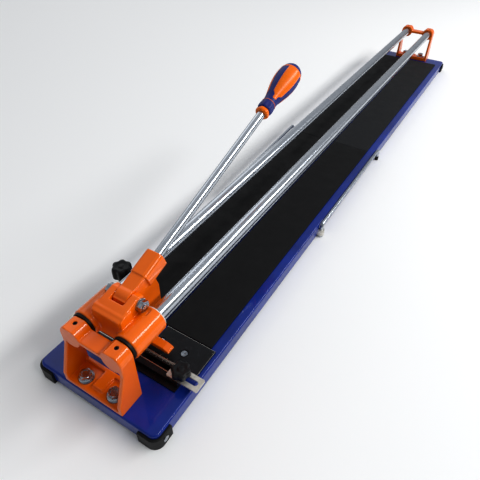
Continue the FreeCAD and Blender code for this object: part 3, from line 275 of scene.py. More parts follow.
@dataclass(frozen=True)
class PlatedMetal:
    """Steel with a chrome, zinc or oxide finish, or bare bronze or carbide.

    The eye gets a metal whose reflections are drawn out along the polishing
    lines, with faint clouding and handling marks.

    Attributes:
        name: the material's name.
        colour: the metal's colour.
        clouded: the colour in the clouded patches.
        roughness: the lowest and highest roughness.
        grain_mm: the spacing of the polishing lines.
        stretch: how far the lines run along X, Y and Z, in line spacings.
        tilt_deg: the turn about X that lays the lines along a raised piece.
        cloud_mm: the size of the clouded patches.
        relief: the strength of the lines' bump.
    """

    name: str
    colour: str
    clouded: str
    roughness: tuple[float, float] = (0.16, 0.3)
    grain_mm: float = 0.6
    stretch: tuple[float, float, float] = (1.0, 60.0, 1.0)
    tilt_deg: float = 0.0
    cloud_mm: float = 14.0
    relief: float = 0.03

    def material(self) -> bpy.types.Material:
        """Builds the metal.

        Returns:
            The material.
        """
        p = Palette.start(self.name, 1.0, self.roughness[0])
        laid = add_node(p.tree, "ShaderNodeMapping",
                        {"Vector": p.coords, "Rotation": (math.radians(-self.tilt_deg), 0.0, 0.0)})
        drawn = add_node(p.tree, "ShaderNodeMapping",
                         {"Vector": laid.outputs[0],
                          "Scale": tuple(1.0 / s for s in self.stretch)})
        lines = p.noise(self.grain_mm, 4.0, 0.6, drawn.outputs[0])
        cloud = p.noise(self.cloud_mm, 2.0)
        patch = p.ramp(cloud, 0.38, 0.7, 0.0, 1.0)
        p.feed("Base Color", p.blend(patch, self.colour, self.clouded))
        both = add_node(p.tree, "ShaderNodeMath", {0: lines, 1: cloud}, operation="ADD")
        p.feed("Roughness", p.ramp(both.outputs[0], 0.75, 1.3, *self.roughness))
        p.emboss(lines, self.relief, 0.05 * MM)
        return p.material


@dataclass(frozen=True)
class MouldedRubber:
    """Rubber or plastic from a spark-eroded mould.

    The eye gets a dark, even body with a fine stipple in the highlights, a
    little grey bloom in patches, and dust lying in the texture.

    Attributes:
        name: the material's name.
        colour: the body's colour.
        bloom: the colour of the bloom and the dust.
        bloom_share: how strong the bloom is.
        roughness: the lowest and highest roughness.
        grain_mm: the size of the stipple.
        relief_mm: the depth of the stipple.
        shine: the strength of the reflections.
    """

    name: str
    colour: str
    bloom: str
    bloom_share: float = 0.18
    roughness: tuple[float, float] = (0.5, 0.68)
    grain_mm: float = 0.9
    relief_mm: float = 0.08
    shine: float = 0.3

    def material(self) -> bpy.types.Material:
        """Builds the rubber or plastic.

        Returns:
            The material.
        """
        p = Palette.start(self.name, 0.0, self.roughness[0])
        patches = p.noise(30, 6.0, 0.6)
        bloom = p.ramp(patches, 0.42, 0.72, 0.0, self.bloom_share)
        grain = p.noise(self.grain_mm, 2.0)
        lint = p.ramp(grain, 0.6, 0.8, 0.0, self.bloom_share)
        pale = add_node(p.tree, "ShaderNodeMath", {0: bloom, 1: lint}, operation="ADD",
                        use_clamp=True)
        p.feed("Base Color", p.blend(pale.outputs[0], self.colour, self.bloom))
        p.feed("Roughness", p.ramp(patches, 0.35, 0.7, *self.roughness))
        p.emboss(grain, 0.55, self.relief_mm * MM)
        p.shader.inputs["Specular IOR Level"].default_value = self.shine
        return p.material


@dataclass(frozen=True)
class AnodisedBlack:
    """Extruded or rolled aluminium, etched and anodised black.

    The eye gets a satin near-black with die lines along the length, a cool
    sheen, and grey rubs.

    Attributes:
        name: the material's name.
        colour: the anodised colour.
        rubbed: the colour of the rubs.
        line_mm: the spacing of the die lines.
        along: how far the die lines run along X, Y and Z, in spacings.
    """

    name: str
    colour: str = "#1B1C1F"
    rubbed: str = "#4B4D52"
    line_mm: float = 0.7
    along: tuple[float, float, float] = (70.0, 1.0, 1.0)

    def material(self) -> bpy.types.Material:
        """Builds the anodised finish.

        Returns:
            The material.
        """
        p = Palette.start(self.name, 0.55, 0.4)
        drawn = add_node(p.tree, "ShaderNodeMapping",
                         {"Vector": p.coords, "Scale": tuple(1.0 / s for s in self.along)})
        lines = p.noise(self.line_mm, 3.0, vector=drawn.outputs[0])
        share = p.ramp(p.noise(9, 7.0, 0.7), 0.56, 0.8, 0.0, 0.45)
        p.feed("Base Color", p.blend(share, self.colour, self.rubbed))
        p.feed("Roughness", p.ramp(lines, 0.3, 0.7, 0.3, 0.5))
        p.emboss(lines, 0.22, 0.06 * MM)
        return p.material


class Finish(Enum):
    """The finishes on this tile cutter, by their makers' names."""

    BLUE = StovedEnamel("blue_stoved_enamel", "#0B2F90", "#092676", "#4A66B4", peel_mm=3.0,
                        roughness=(0.3, 0.42), coat=0.55, rub=0.12)
    ORANGE = StovedEnamel("orange_stoved_enamel", "#F07200", "#E66A00", "#FF9C44", peel_mm=2.4,
                          roughness=(0.32, 0.44), coat=0.7, rub=0.15)
    CHROME = PlatedMetal("hard_chrome_bar", "#BFC4CA", "#B6BBC2", roughness=(0.2, 0.24),
                         grain_mm=2.0, relief=0.0)
    CHROME_LEVER = PlatedMetal("hard_chrome_lever_rod", "#BFC4CA", "#B6BBC2",
                               roughness=(0.2, 0.24), grain_mm=2.0, relief=0.0, tilt_deg=18.7)
    BRIGHT_ZINC = PlatedMetal("bright_zinc_screws", "#BDC2C8", "#9AA0A8", roughness=(0.16, 0.26),
                              grain_mm=1.0, stretch=(1.0, 1.0, 1.0), cloud_mm=4.0, relief=0.015)
    ZINC_PLATE = PlatedMetal("zinc_plated_strip", "#E6E3DA", "#CFCCC2", roughness=(0.45, 0.6),
                             grain_mm=0.5, stretch=(40.0, 1.0, 1.0), cloud_mm=7.0, relief=0.2)
    GALVANISED = PlatedMetal("galvanised_channel", "#A5A9AD", "#7F858B", roughness=(0.35, 0.55),
                             grain_mm=1.2, stretch=(1.0, 8.0, 1.0), cloud_mm=12.0, relief=0.25)
    BLACK_OXIDE = PlatedMetal("black_oxide_screws", "#1C1C1E", "#2E2E31", roughness=(0.3, 0.5),
                              grain_mm=0.5, stretch=(1.0, 1.0, 1.0), cloud_mm=3.0, relief=0.3)
    BRONZE = PlatedMetal("sintered_bronze_bush", "#A67C3D", "#7C5A28", roughness=(0.35, 0.55),
                         grain_mm=0.5, stretch=(1.0, 1.0, 1.0), cloud_mm=3.0, relief=0.5)
    CARBIDE = PlatedMetal("ground_carbide_wheel", "#8E9196", "#6A6D72", roughness=(0.2, 0.34),
                          grain_mm=0.25, stretch=(1.0, 6.0, 6.0), cloud_mm=3.0, relief=0.2)
    CAP_RUBBER = MouldedRubber("black_rubber_caps", "#080909", "#2A2C2E", grain_mm=1.1,
                               relief_mm=0.1, roughness=(0.45, 0.62))
    PAD = MouldedRubber("black_bed_rubber", "#0B0B0C", "#2C2C2F", bloom_share=0.1,
                        roughness=(0.66, 0.84), grain_mm=1.4, relief_mm=0.16)
    PAD_GREY = MouldedRubber("grey_bed_rubber", "#1A1B1D", "#3A3C40", bloom_share=0.12,
                             roughness=(0.62, 0.8), grain_mm=1.4, relief_mm=0.16)
    KNOB = MouldedRubber("glass_filled_nylon_knobs", "#131416", "#46494D", bloom_share=0.12,
                         roughness=(0.34, 0.5), grain_mm=0.8, relief_mm=0.05)
    NYLON = MouldedRubber("natural_nylon_rings", "#D9D8D2", "#B5B3AA", bloom_share=0.3,
                          roughness=(0.35, 0.5), grain_mm=1.0, relief_mm=0.04)
    GRIP_BLUE = MouldedRubber("blue_soft_grip", "#222C74", "#515AA4", bloom_share=0.14,
                              roughness=(0.42, 0.58), grain_mm=0.8, relief_mm=0.07)
    GRIP_ORANGE = MouldedRubber("orange_grip_core", "#F27606", "#FF9E50", bloom_share=0.08,
                                roughness=(0.24, 0.36), grain_mm=1.6, relief_mm=0.02)
    FENCE = AnodisedBlack("anodised_fence")
    RULER = AnodisedBlack("anodised_ruler_plates", colour="#1E1F22", along=(1.0, 60.0, 1.0))
    # Painted highlight: pale metal strips standing in for the highlight lines on the black fence and
    # ruler plates.
    BRIGHT_CUT = PlatedMetal("painted_highlight_metal", "#D2CFC9", "#B7B3AC", roughness=(0.22, 0.36),
                             grain_mm=0.3, stretch=(60.0, 1.0, 1.0), cloud_mm=9.0, relief=0.1)
    TICKS = MouldedRubber("filled_scale_marks", "#B9B4A8", "#8B877C", bloom_share=0.4,
                          roughness=(0.5, 0.7), grain_mm=0.5, relief_mm=0.02)

    @property
    def made(self) -> bpy.types.Material:
        """The finish's material, built the first time that it is asked for."""
        return bpy.data.materials.get(self.value.name) or self.value.material()


# -------------------------------------------------------------------- geometry

def mesh_from_grids(name: str, grids: Sequence[Array], finishes: Sequence[Finish],
                    flat_above_deg: float = 35.0) -> bpy.types.Object:
    """Joins grids of points into one closed mesh with outward faces.

    Each grid is rows by columns by three. Neighbouring points make quads, and
    points that fall together, as at poles, seams and shared rims, are merged.

    Args:
        name: the piece's name.
        grids: the grids of points, in metres.
        finishes: the materials, by number.
        flat_above_deg: the angle above which an edge stays sharp.

    Returns:
        The new object, linked to the scene.
    """
    points, faces, start = [], [], 0
    for grid in grids:
        rows, columns = grid.shape[:2]
        index = start + np.arange(rows * columns).reshape(rows, columns)
        quads = np.stack([index[:-1, :-1], index[:-1, 1:], index[1:, 1:], index[1:, :-1]], -1)
        faces.append(quads.reshape(-1, 4))
        points.append(grid.reshape(-1, 3))
        start += rows * columns
    mesh = bpy.data.meshes.new(name)
    mesh.from_pydata(np.concatenate(points).tolist(), [], np.concatenate(faces).tolist())
    shape = bmesh.new()
    shape.from_mesh(mesh)
    bmesh.ops.remove_doubles(shape, verts=shape.verts, dist=0.004 * MM)
    bmesh.ops.recalc_face_normals(shape, faces=shape.faces)
    shape.to_mesh(mesh)
    shape.free()
    return finished(name, mesh, finishes, flat_above_deg)


def finished(name: str, mesh: bpy.types.Mesh, finishes: Sequence[Finish],
             flat_above_deg: float = 35.0) -> bpy.types.Object:
    """Puts a mesh in the scene as an object at the origin.

    Args:
        name: the piece's name.
        mesh: its mesh, in the frame's own axes.
        finishes: the materials, by number.
        flat_above_deg: the angle above which an edge stays sharp.

    Returns:
        The object.
    """
    for finish in finishes:
        mesh.materials.append(finish.made)
    mesh.polygons.foreach_set("use_smooth", np.ones(len(mesh.polygons), bool))
    mesh.set_sharp_from_angle(angle=math.radians(flat_above_deg))
    obj = bpy.data.objects.new(name, mesh)
    bpy.context.scene.collection.objects.link(obj)
    return obj


@dataclass(frozen=True)
class Axis:
    """A line in space with a frame round it.

    Attributes:
        origin: the point that lengths are measured from.
        along: the direction of the line.
        across: the direction at angle zero.
    """

    origin: Array
    along: Array
    across: Array

    def turned(self, lengths: Array, radii: Array, angles: Array) -> Array:
        """Points round the line.

        A point is the origin, plus its length along the line, plus its radius
        times the direction at its angle.

        Args:
            lengths: distance along the line.
            radii: distance from the line.
            angles: angle round the line, from the zero direction.

        Returns:
            The points, in the shape that the three arrays share, by three.
        """
        third = np.cross(self.along, self.across)
        lengths, radii, angles = np.broadcast_arrays(lengths, radii, angles)
        return (self.origin + lengths[..., None] * self.along
                + (radii * np.cos(angles))[..., None] * self.across
                + (radii * np.sin(angles))[..., None] * third)


def smooth_profile(knots: Sequence[tuple[float, float]], count: int) -> tuple[Array, Array]:
    """A smooth radius along a length, through a few knots.

    Between two knots the radius follows a cubic. Its slope at a knot is the
    mean of the slopes on both sides, weighted by the distances between knots.

    Args:
        knots: length and radius pairs, in order.
        count: how many points to return.

    Returns:
        The lengths and the radii.
    """
    at, radius = np.array(knots).T
    slope = np.gradient(radius, at)
    lengths = np.linspace(at[0], at[-1], count)
    seg = np.clip(np.searchsorted(at, lengths, side="right") - 1, 0, len(at) - 2)
    width = at[seg + 1] - at[seg]
    u = (lengths - at[seg]) / width
    h00, h10 = 2 * u**3 - 3 * u**2 + 1, u**3 - 2 * u**2 + u
    h01, h11 = 3 * u**2 - 2 * u**3, u**3 - u**2
    return lengths, (h00 * radius[seg] + h10 * width * slope[seg]
                     + h01 * radius[seg + 1] + h11 * width * slope[seg + 1])


def eased_samples(low: float, high: float, edge: float, cells: int, steps: int = 3) -> Array:
    """Places along a side that crowd into the rounded edges.

    Inside an edge the places are the radius times the tangent of even steps
    up to 45 degrees, so that the rounding comes out even.

    Args:
        low: the side's low end.
        high: the side's high end.
        edge: the radius of the rounding.
        cells: how many cells lie between the edges.
        steps: how many cells each half edge has.

    Returns:
        The places, in order.
    """
    inner = edge * np.tan(np.linspace(0, math.pi / 4, steps + 1))
    return np.concatenate([(low + edge - inner)[::-1],
                           np.linspace(low + edge, high - edge, cells + 1)[1:-1],
                           high - edge + inner])


def rounded_block(low: Sequence[float], high: Sequence[float], edge: float,
                  cells: tuple[int, int, int] = (2, 2, 2)) -> list[Array]:
    """The six sides of a block with rounded edges and corners.

    Each point of the plain block is pulled back to the block that is smaller
    by the radius, and pushed out again by the radius along the same line.

    Args:
        low: the lowest corner.
        high: the highest corner.
        edge: the radius of the edges.
        cells: cells between the edges along X, Y and Z.

    Returns:
        Six grids of points.
    """
    low, high = np.asarray(low, float), np.asarray(high, float)
    places = [eased_samples(low[i], high[i], edge, cells[i]) for i in range(3)]
    grids = []
    for axis in range(3):
        one, two = (axis + 1) % 3, (axis + 2) % 3
        for side in (low[axis], high[axis]):
            grid = np.empty((len(places[one]), len(places[two]), 3))
            grid[..., axis] = side
            grid[..., one] = places[one][:, None]
            grid[..., two] = places[two][None, :]
            core = np.clip(grid, low + edge, high - edge)
            away = grid - core
            reach = np.linalg.norm(away, axis=-1, keepdims=True)
            grids.append(core + away * (edge / np.maximum(reach, 1e-12)))
    return grids


def box_of(node: str) -> tuple[Array, Array]:
    """A node's lowest and highest corners as arrays."""
    low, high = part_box(node)
    return np.array(low), np.array(high)


def centre_of(node: str) -> Array:
    """The middle of a node's box."""
    low, high = box_of(node)
    return (low + high) / 2


def tilted_bar(node: str) -> tuple[Array, float, float]:
    """Measures a round bar on the lever's line from its box.

    The middle of the bar's box lies on the line from the pivot. The box is as
    long as the bar times the tilt's cosine, plus its diameter times the sine.

    Args:
        node: the bar's node.

    Returns:
        The line's direction, and the bar's length and radius.
    """
    along = (centre_of(node) - centre_of("pivot_bolt")) * np.array([0.0, 1.0, 1.0])
    along /= np.linalg.norm(along)
    low, high = box_of(node)
    radius = (high[0] - low[0]) / 2
    return along, ((high[1] - low[1]) - 2 * radius * along[2]) / along[1], radius


def softened_copy(frame: dict, node: str, name: str, finish: Finish, voxel_mm: float,
                  rounds: int) -> bpy.types.Object:
    """A node's shape with the soft edges and fillets of a casting or a moulding.

    The node's triangles are merged into a closed shell, rebuilt from even
    cells, and relaxed, so that every corner gets a radius of about two cells.

    Args:
        frame: the loaded frame.
        node: the node to copy and stand for.
        name: the new piece's name.
        finish: its finish.
        voxel_mm: the size of a cell.
        rounds: how many times the surface is relaxed.

    Returns:
        The new piece.
    """
    mesh = frame["nodes"][node].data.copy()
    shape = bmesh.new()
    shape.from_mesh(mesh)
    bmesh.ops.remove_doubles(shape, verts=shape.verts, dist=0.002 * MM)
    shape.to_mesh(mesh)
    shape.free()
    mesh.materials.clear()
    rough = bpy.data.objects.new(name + "_rough", mesh)
    bpy.context.scene.collection.objects.link(rough)
    cells = rough.modifiers.new("cells", "REMESH")
    cells.mode = "VOXEL"
    cells.voxel_size = voxel_mm * MM
    relax = rough.modifiers.new("relax", "SMOOTH")
    relax.factor = 0.5
    relax.iterations = rounds
    graph = bpy.context.evaluated_depsgraph_get()
    built = bpy.data.meshes.new_from_object(rough.evaluated_get(graph))
    bpy.data.objects.remove(rough)
    built.name = name
    built.materials.clear()
    piece = finished(name, built, [finish], 180.0)
    return place_piece(piece, node, [node])


def place_piece(piece: bpy.types.Object, like: str, stands_for: Sequence[str] = ()) -> bpy.types.Object:
    """Makes a piece ride with a node's body, and hides the nodes that it stands for.

    Args:
        piece: the finished piece.
        like: a node on the body that it rides on.
        stands_for: the nodes that it is shown instead of.

    Returns:
        The piece.
    """
    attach(piece, bpy.data.objects[like]["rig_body"])
    if stands_for:
        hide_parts(*stands_for)
    LOG.info("%s: %d faces", piece.name, len(piece.data.polygons))
    return piece


# ------------------------------------------------------------------- the pieces

@dataclass
class Castings:
    """The enamelled castings: two end brackets, carriage, lever and foot.

    Attributes:
        frame: the loaded frame.
        cell_mm: for each casting, the cell that its surface is rebuilt from.
        rounds: how many times a casting's surface is relaxed.
    """

    frame: dict
    cell_mm: dict[str, float] = field(default_factory=lambda: {
        "near_bracket": 0.65, "far_bracket": 0.8, "carriage_body": 0.7,
        "lever_casting": 0.6, "breaker_foot": 0.45})
    rounds: int = 10

    def build(self) -> None:
        """Builds every casting and puts it on its body."""
        for node, cell in self.cell_mm.items():
            piece = softened_copy(self.frame, node, node + "_cast", Finish.ORANGE, cell,
                                  self.rounds)


@dataclass
class Grip:
    """The lever's two-shot grip: blue soft sleeve, orange panels and neck line.

    Lengths run along the lever from the grip's guard to its butt, and radii are
    from the lever's middle line, both in millimetres.

    Attributes:
        pivot: the lever's pivot.
        core: the middle of the grip's core, which lies on the lever's line.
        start: the distance from the pivot to the guard.
        length: the sleeve's length.
        radius: the sleeve's largest radius.
        panels: how many orange panels there are.
        panel_turn: the angle of the first panel's middle.
        facets: how many flats the guard has.
        knots: the profile, as shares of the length and of the largest radius.
        panel_from: the share of the length where the panels start.
        panel_to: the share where they end.
        proud: how far the panels and the butt's ring stand out.
        neck_at: the share of the length where the neck line lies.
        neck_half: half the width of the neck line, as a share of the length.
        butt_ring: the shares of the length between which the butt's ring lies.
        flat_depth: how deep the guard's flats are, as a share of the radius.
        hole_depth: how far the rod's hole runs into the guard.
        hole_radius: the hole's radius, as a share of the largest radius.
    """

    pivot: Array
    core: Array
    start: float
    length: float
    radius: float
    panels: int = 3
    panel_turn: float = 0.72
    facets: int = 6
    knots: tuple[tuple[float, float], ...] = (
        (0.0, 0.53), (0.012, 0.59), (0.045, 0.63), (0.10, 0.62), (0.16, 0.575), (0.24, 0.585),
        (0.36, 0.73), (0.50, 0.90), (0.64, 0.995), (0.77, 0.985), (0.87, 0.90), (0.94, 0.74),
        (0.98, 0.50), (0.995, 0.24), (1.0, 0.0))
    panel_from: float = 0.20
    panel_to: float = 0.86
    proud: float = 0.35 * MM
    neck_at: float = 0.15
    neck_half: float = 0.007
    butt_ring: tuple[float, float] = (0.825, 0.875)
    flat_depth: float = 0.10
    hole_depth: float = 6 * MM
    hole_radius: float = 0.42

    def axis(self) -> Axis:
        """The lever's line, with angle zero pointing up from it."""
        along = (self.core - self.pivot) * np.array([0.0, 1.0, 1.0])
        along /= np.linalg.norm(along)
        up = np.array([0.0, -along[2], along[1]])
        return Axis(self.pivot + along * self.start, along, up)

    def skin_radius(self, share: Array, angle: Array) -> Array:
        """The sleeve's radius at a share of its length and an angle.

        The profile's radius is scaled by a wave with one trough per flat, which
        is strong on the guard and fades out before the waist.

        Args:
            share: place along the sleeve, from zero to one.
            angle: angle round the sleeve.

        Returns:
            The radius in metres.
        """
        lengths, radii = smooth_profile(self.knots, 400)
        base = np.interp(share, lengths, radii) * self.radius
        guard = np.exp(-(((share - 0.06) / 0.07) ** 2))
        flats = self.flat_depth * guard * (np.cos(self.facets * angle) - 1) / 2
        return base * (1 + flats)

    def sleeve(self) -> bpy.types.Object:
        """The blue sleeve, closed at the guard round the rod and at the butt."""
        share = np.concatenate([np.linspace(0, 0.12, 24), np.linspace(0.125, 0.9, 70),
                                1 - 0.1 * np.cos(np.linspace(0.1, math.pi / 2, 22))])[:, None]
        share = np.clip(np.maximum.accumulate(share), 0, 1)
        angle = np.linspace(0, 2 * math.pi, 97)[None, :]
        axis, bore, deep = self.axis(), self.hole_radius, self.hole_depth
        skin = axis.turned(share * self.length, self.skin_radius(share, angle), angle)
        inner = axis.turned(np.array([[0.0], [0.0]]),
                            np.array([[bore], [self.knots[0][1]]]) * self.radius, angle)
        hole = axis.turned(np.array([[deep], [0.0]]), np.array([[bore], [bore]]) * self.radius,
                           angle)
        bottom = axis.turned(np.array([[deep], [deep]]),
                             np.array([[0.0], [bore]]) * self.radius, angle)
        return mesh_from_grids("grip_sleeve_skin", [skin, inner, hole, bottom], [Finish.GRIP_BLUE])

    def panel(self, number: int) -> Array:
        """One orange panel, as a grid from edge to edge and from neck to butt.

        Its half width is narrow along a short tongue, widens over a shoulder,
        and stays wide to a round end. It stands proud of the sleeve in the
        middle and dips under the sleeve's surface at its rim.

        Args:
            number: which panel.

        Returns:
            The grid.
        """
        u = np.linspace(0, 1, 90)[:, None]
        v = np.linspace(-1, 1, 27)[None, :]
        share = self.panel_from + (self.panel_to - self.panel_from) * u
        tongue, wide = 0.34, 0.72
        shoulder = np.clip((u - 0.10) / 0.10, 0, 1)
        half = tongue + (wide - tongue) * shoulder**2 * (3 - 2 * shoulder)
        round_neck = np.sqrt(np.clip(1 - (1 - np.minimum(u / 0.05, 1)) ** 2, 0, 1))
        half = half * round_neck
        angle = self.panel_turn + number * 2 * math.pi / self.panels + v * half
        rim = np.minimum(1 - np.abs(v) ** 12, 1) * np.minimum(u / 0.03, 1)
        lift = self.proud * (2 * rim - 1)
        radius = self.skin_radius(share, angle) + lift
        return self.axis().turned(share * self.length, radius, angle)

    def band(self, low: float, high: float, proud: float) -> Array:
        """An orange band right round the sleeve, with a rounded section.

        Args:
            low: share of the length where the band starts.
            high: share of the length where it ends.
            proud: how far its middle stands out.

        Returns:
            The grid.
        """
        u = np.linspace(0, 1, 9)[:, None]
        angle = np.linspace(0, 2 * math.pi, 97)[None, :]
        share = low + (high - low) * u
        lift = proud * (2 * np.sin(math.pi * u) ** 0.5 - 1)
        radius = self.skin_radius(share, angle) + lift
        return self.axis().turned(share * self.length, radius, angle)

    def collar(self, length: float, radius: float, bore: float) -> bpy.types.Object:
        """The orange collar at the mouth of the grip, six-sided with a soft lip.

        Its outline is a closed loop of length and radius pairs turned round the
        lever's line, and a wave in the angle gives it flats.

        Args:
            length: its length along the lever.
            radius: its largest radius.
            bore: the radius of the rod that it sits on.

        Returns:
            The piece.
        """
        loop = np.array([(0, bore), (0, 0.86), (0.08, 0.95), (0.22, 1.0), (0.62, 1.0),
                         (0.78, 0.95), (1, 0.88), (1, bore), (0, bore)])
        loop[:, 1] = np.where(loop[:, 1] == bore, bore, loop[:, 1] * radius)
        angle = np.linspace(0, 2 * math.pi, 97)[None, :]
        flats = np.where(loop[:, 1:] == bore, 0.0, 0.05) * (np.cos(self.facets * angle) - 1) / 2
        grid = self.axis().turned(loop[:, :1] * length - length, loop[:, 1:] * (1 + flats), angle)
        return mesh_from_grids("grip_collar_ring", [grid], [Finish.GRIP_ORANGE])

    def build(self, collar: tuple[float, float, float]) -> None:
        """Builds the grip and puts it on the lever.

        Args:
            collar: the collar's length and radius, and the rod's radius.
        """
        place_piece(self.sleeve(), "grip_sleeve", ["grip_sleeve"])
        grids = [self.panel(number) for number in range(self.panels)]
        grids.append(self.band(*self.butt_ring, self.proud))
        grids.append(self.band(self.neck_at - self.neck_half, self.neck_at + self.neck_half,
                               0.4 * MM))
        panels = mesh_from_grids("grip_orange_panels", grids, [Finish.GRIP_ORANGE])
        place_piece(panels, "grip_core", ["grip_core"])
        place_piece(self.collar(*collar), "grip_collar", ["grip_collar"])


@dataclass
class RoundBars:
    """The two rails and the lever's rod: ground round bars with chamfered ends.

    Attributes:
        rows: how many rings lie along a bar.
        columns: how many points go round it.
        chamfer: the size of the chamfers.
    """

    rows: int = 90
    columns: int = 72
    chamfer: float = 0.6 * MM

    def bar(self, node: str, axis: Axis, length: float, radius: float, finish: Finish) -> None:
        """Builds one bar and puts it on its body.

        The bar is the outline from the middle of one end to the middle of the
        other, turned round its line.

        Args:
            node: the node that it stands for.
            axis: its line, from the middle of its first end.
            length: its length.
            radius: its radius.
            finish: its finish.
        """
        edge = self.chamfer
        lengths = np.concatenate([[0, 0], np.linspace(edge, length - edge, self.rows),
                                  [length, length]])
        radii = np.concatenate([[0, radius - edge], np.full(self.rows, radius),
                                [radius - edge, 0]])
        angle = np.linspace(0, 2 * math.pi, self.columns + 1)
        grid = axis.turned(lengths[:, None], radii[:, None], angle[None, :])
        place_piece(mesh_from_grids(node + "_bar", [grid], [finish]), node, [node])

    def build(self) -> None:
        """Builds the rails and the lever's rod."""
        forward, up = np.array([0.0, 1.0, 0.0]), np.array([0.0, 0.0, 1.0])
        for node in ("rail_left", "rail_right"):
            low, high = box_of(node)
            middle = (low + high) / 2
            axis = Axis(np.array([middle[0], low[1], middle[2]]), forward, up)
            self.bar(node, axis, high[1] - low[1], (high[0] - low[0]) / 2, Finish.CHROME)
        along, length, radius = tilted_bar("lever_rod")
        start = centre_of("lever_rod") - along * length / 2
        axis = Axis(start, along, np.cross(np.array([1.0, 0.0, 0.0]), along))
        self.bar("lever_rod", axis, length, radius, Finish.CHROME_LEVER)


@dataclass
class ClampKnob:
    """A lobed clamp knob with a hub, moulded in black nylon.

    Attributes:
        node: the node that it stands for.
        lobes: how many lobes it has.
        depth: how deep the hollows between the lobes are, as a share.
        turn: the angle of the first lobe.
        hub: the hub's radius, as a share of the knob's.
        neck: the share of the height where the hub meets the head.
    """

    node: str
    lobes: int = 6
    depth: float = 0.17
    turn: float = 0.0
    hub: float = 0.5
    neck: float = 0.22

    def build(self) -> None:
        """Builds the knob from its node's box and puts it on its body.

        The radius is the outline's share times one minus a rounded wave in the
        angle. The wave is full on the head and absent on the hub and in the
        middle of the top, which is a shallow dish with a raised button.
        """
        low, high = box_of(self.node)
        middle = (low + high) / 2
        radius, height = (high[0] - low[0]) / 2, high[2] - low[2]
        neck, hub = self.neck, self.hub
        loop = [(0, 0, 0), (0, hub, 0), (neck * 0.7, hub, 0), (neck, hub * 1.12, 0.2),
                (neck + 0.02, 0.72, 0.7), (neck + 0.04, 0.9, 1), (neck + 0.10, 0.98, 1),
                (neck + 0.18, 1.0, 1), (0.80, 1.0, 1), (0.90, 0.975, 1), (0.96, 0.92, 1),
                (0.99, 0.84, 0.9), (1.0, 0.74, 0.7), (0.985, 0.6, 0.3), (0.955, 0.5, 0.1),
                (0.945, 0.4, 0), (0.945, 0.3, 0), (0.975, 0.26, 0), (0.985, 0.2, 0), (0.985, 0, 0)]
        up, out, wave = (np.array(v)[:, None] for v in zip(*loop))
        angle = np.linspace(0, 2 * math.pi, 20 * self.lobes + 1)[None, :]
        hollow = (np.abs(np.sin(self.lobes * (angle - self.turn) / 2)) ** 2.4) * self.depth
        axis = Axis(np.array([middle[0], middle[1], low[2]]), np.array([0.0, 0.0, 1.0]),
                    np.array([1.0, 0.0, 0.0]))
        grid = axis.turned(up * height, out * radius * (1 - wave * hollow), angle)
        piece = mesh_from_grids(self.node + "_head", [grid], [Finish.KNOB], flat_above_deg=50)
        place_piece(piece, self.node, [self.node])


@dataclass
class BedPads:
    """The rubber mats on the bed, with soft cut edges.

    Attributes:
        edge: the radius of the edges.
        wave: how far the top lies out of flat.
        nodes: each mat's node, finish and material slot name, which is not used.
    """

    edge: float = 0.6 * MM
    wave: float = 0.12 * MM
    nodes: tuple[tuple[str, Finish, str], ...] = (
        ("pad_left_near", Finish.PAD, "pad_rubber"), ("pad_left_far", Finish.PAD, "pad_rubber"),
        ("pad_right_near", Finish.PAD, "pad_rubber"),
        ("pad_right_far", Finish.PAD_GREY, "pad_rubber_grey"))

    def ripple(self, x: Array, y: Array) -> Array:
        """Height of the lie of the mat: two crossing slow waves, never above zero."""
        return self.wave * (np.sin(31 * y + 20 * x) * np.cos(57 * x - 9 * y) - 1)

    def build(self) -> None:
        """Builds the four mats and puts them on the base."""
        for node, finish, slot in self.nodes:
            low, high = box_of(node)
            grids = rounded_block(low, high, self.edge, (14, 110, 1))
            for grid in grids:
                top = (grid[..., 2] - low[2]) / (high[2] - low[2])
                grid[..., 2] += top * self.ripple(grid[..., 0], grid[..., 1])
            piece = mesh_from_grids(node + "_mat", grids, [finish])
            place_piece(piece, node, [node])


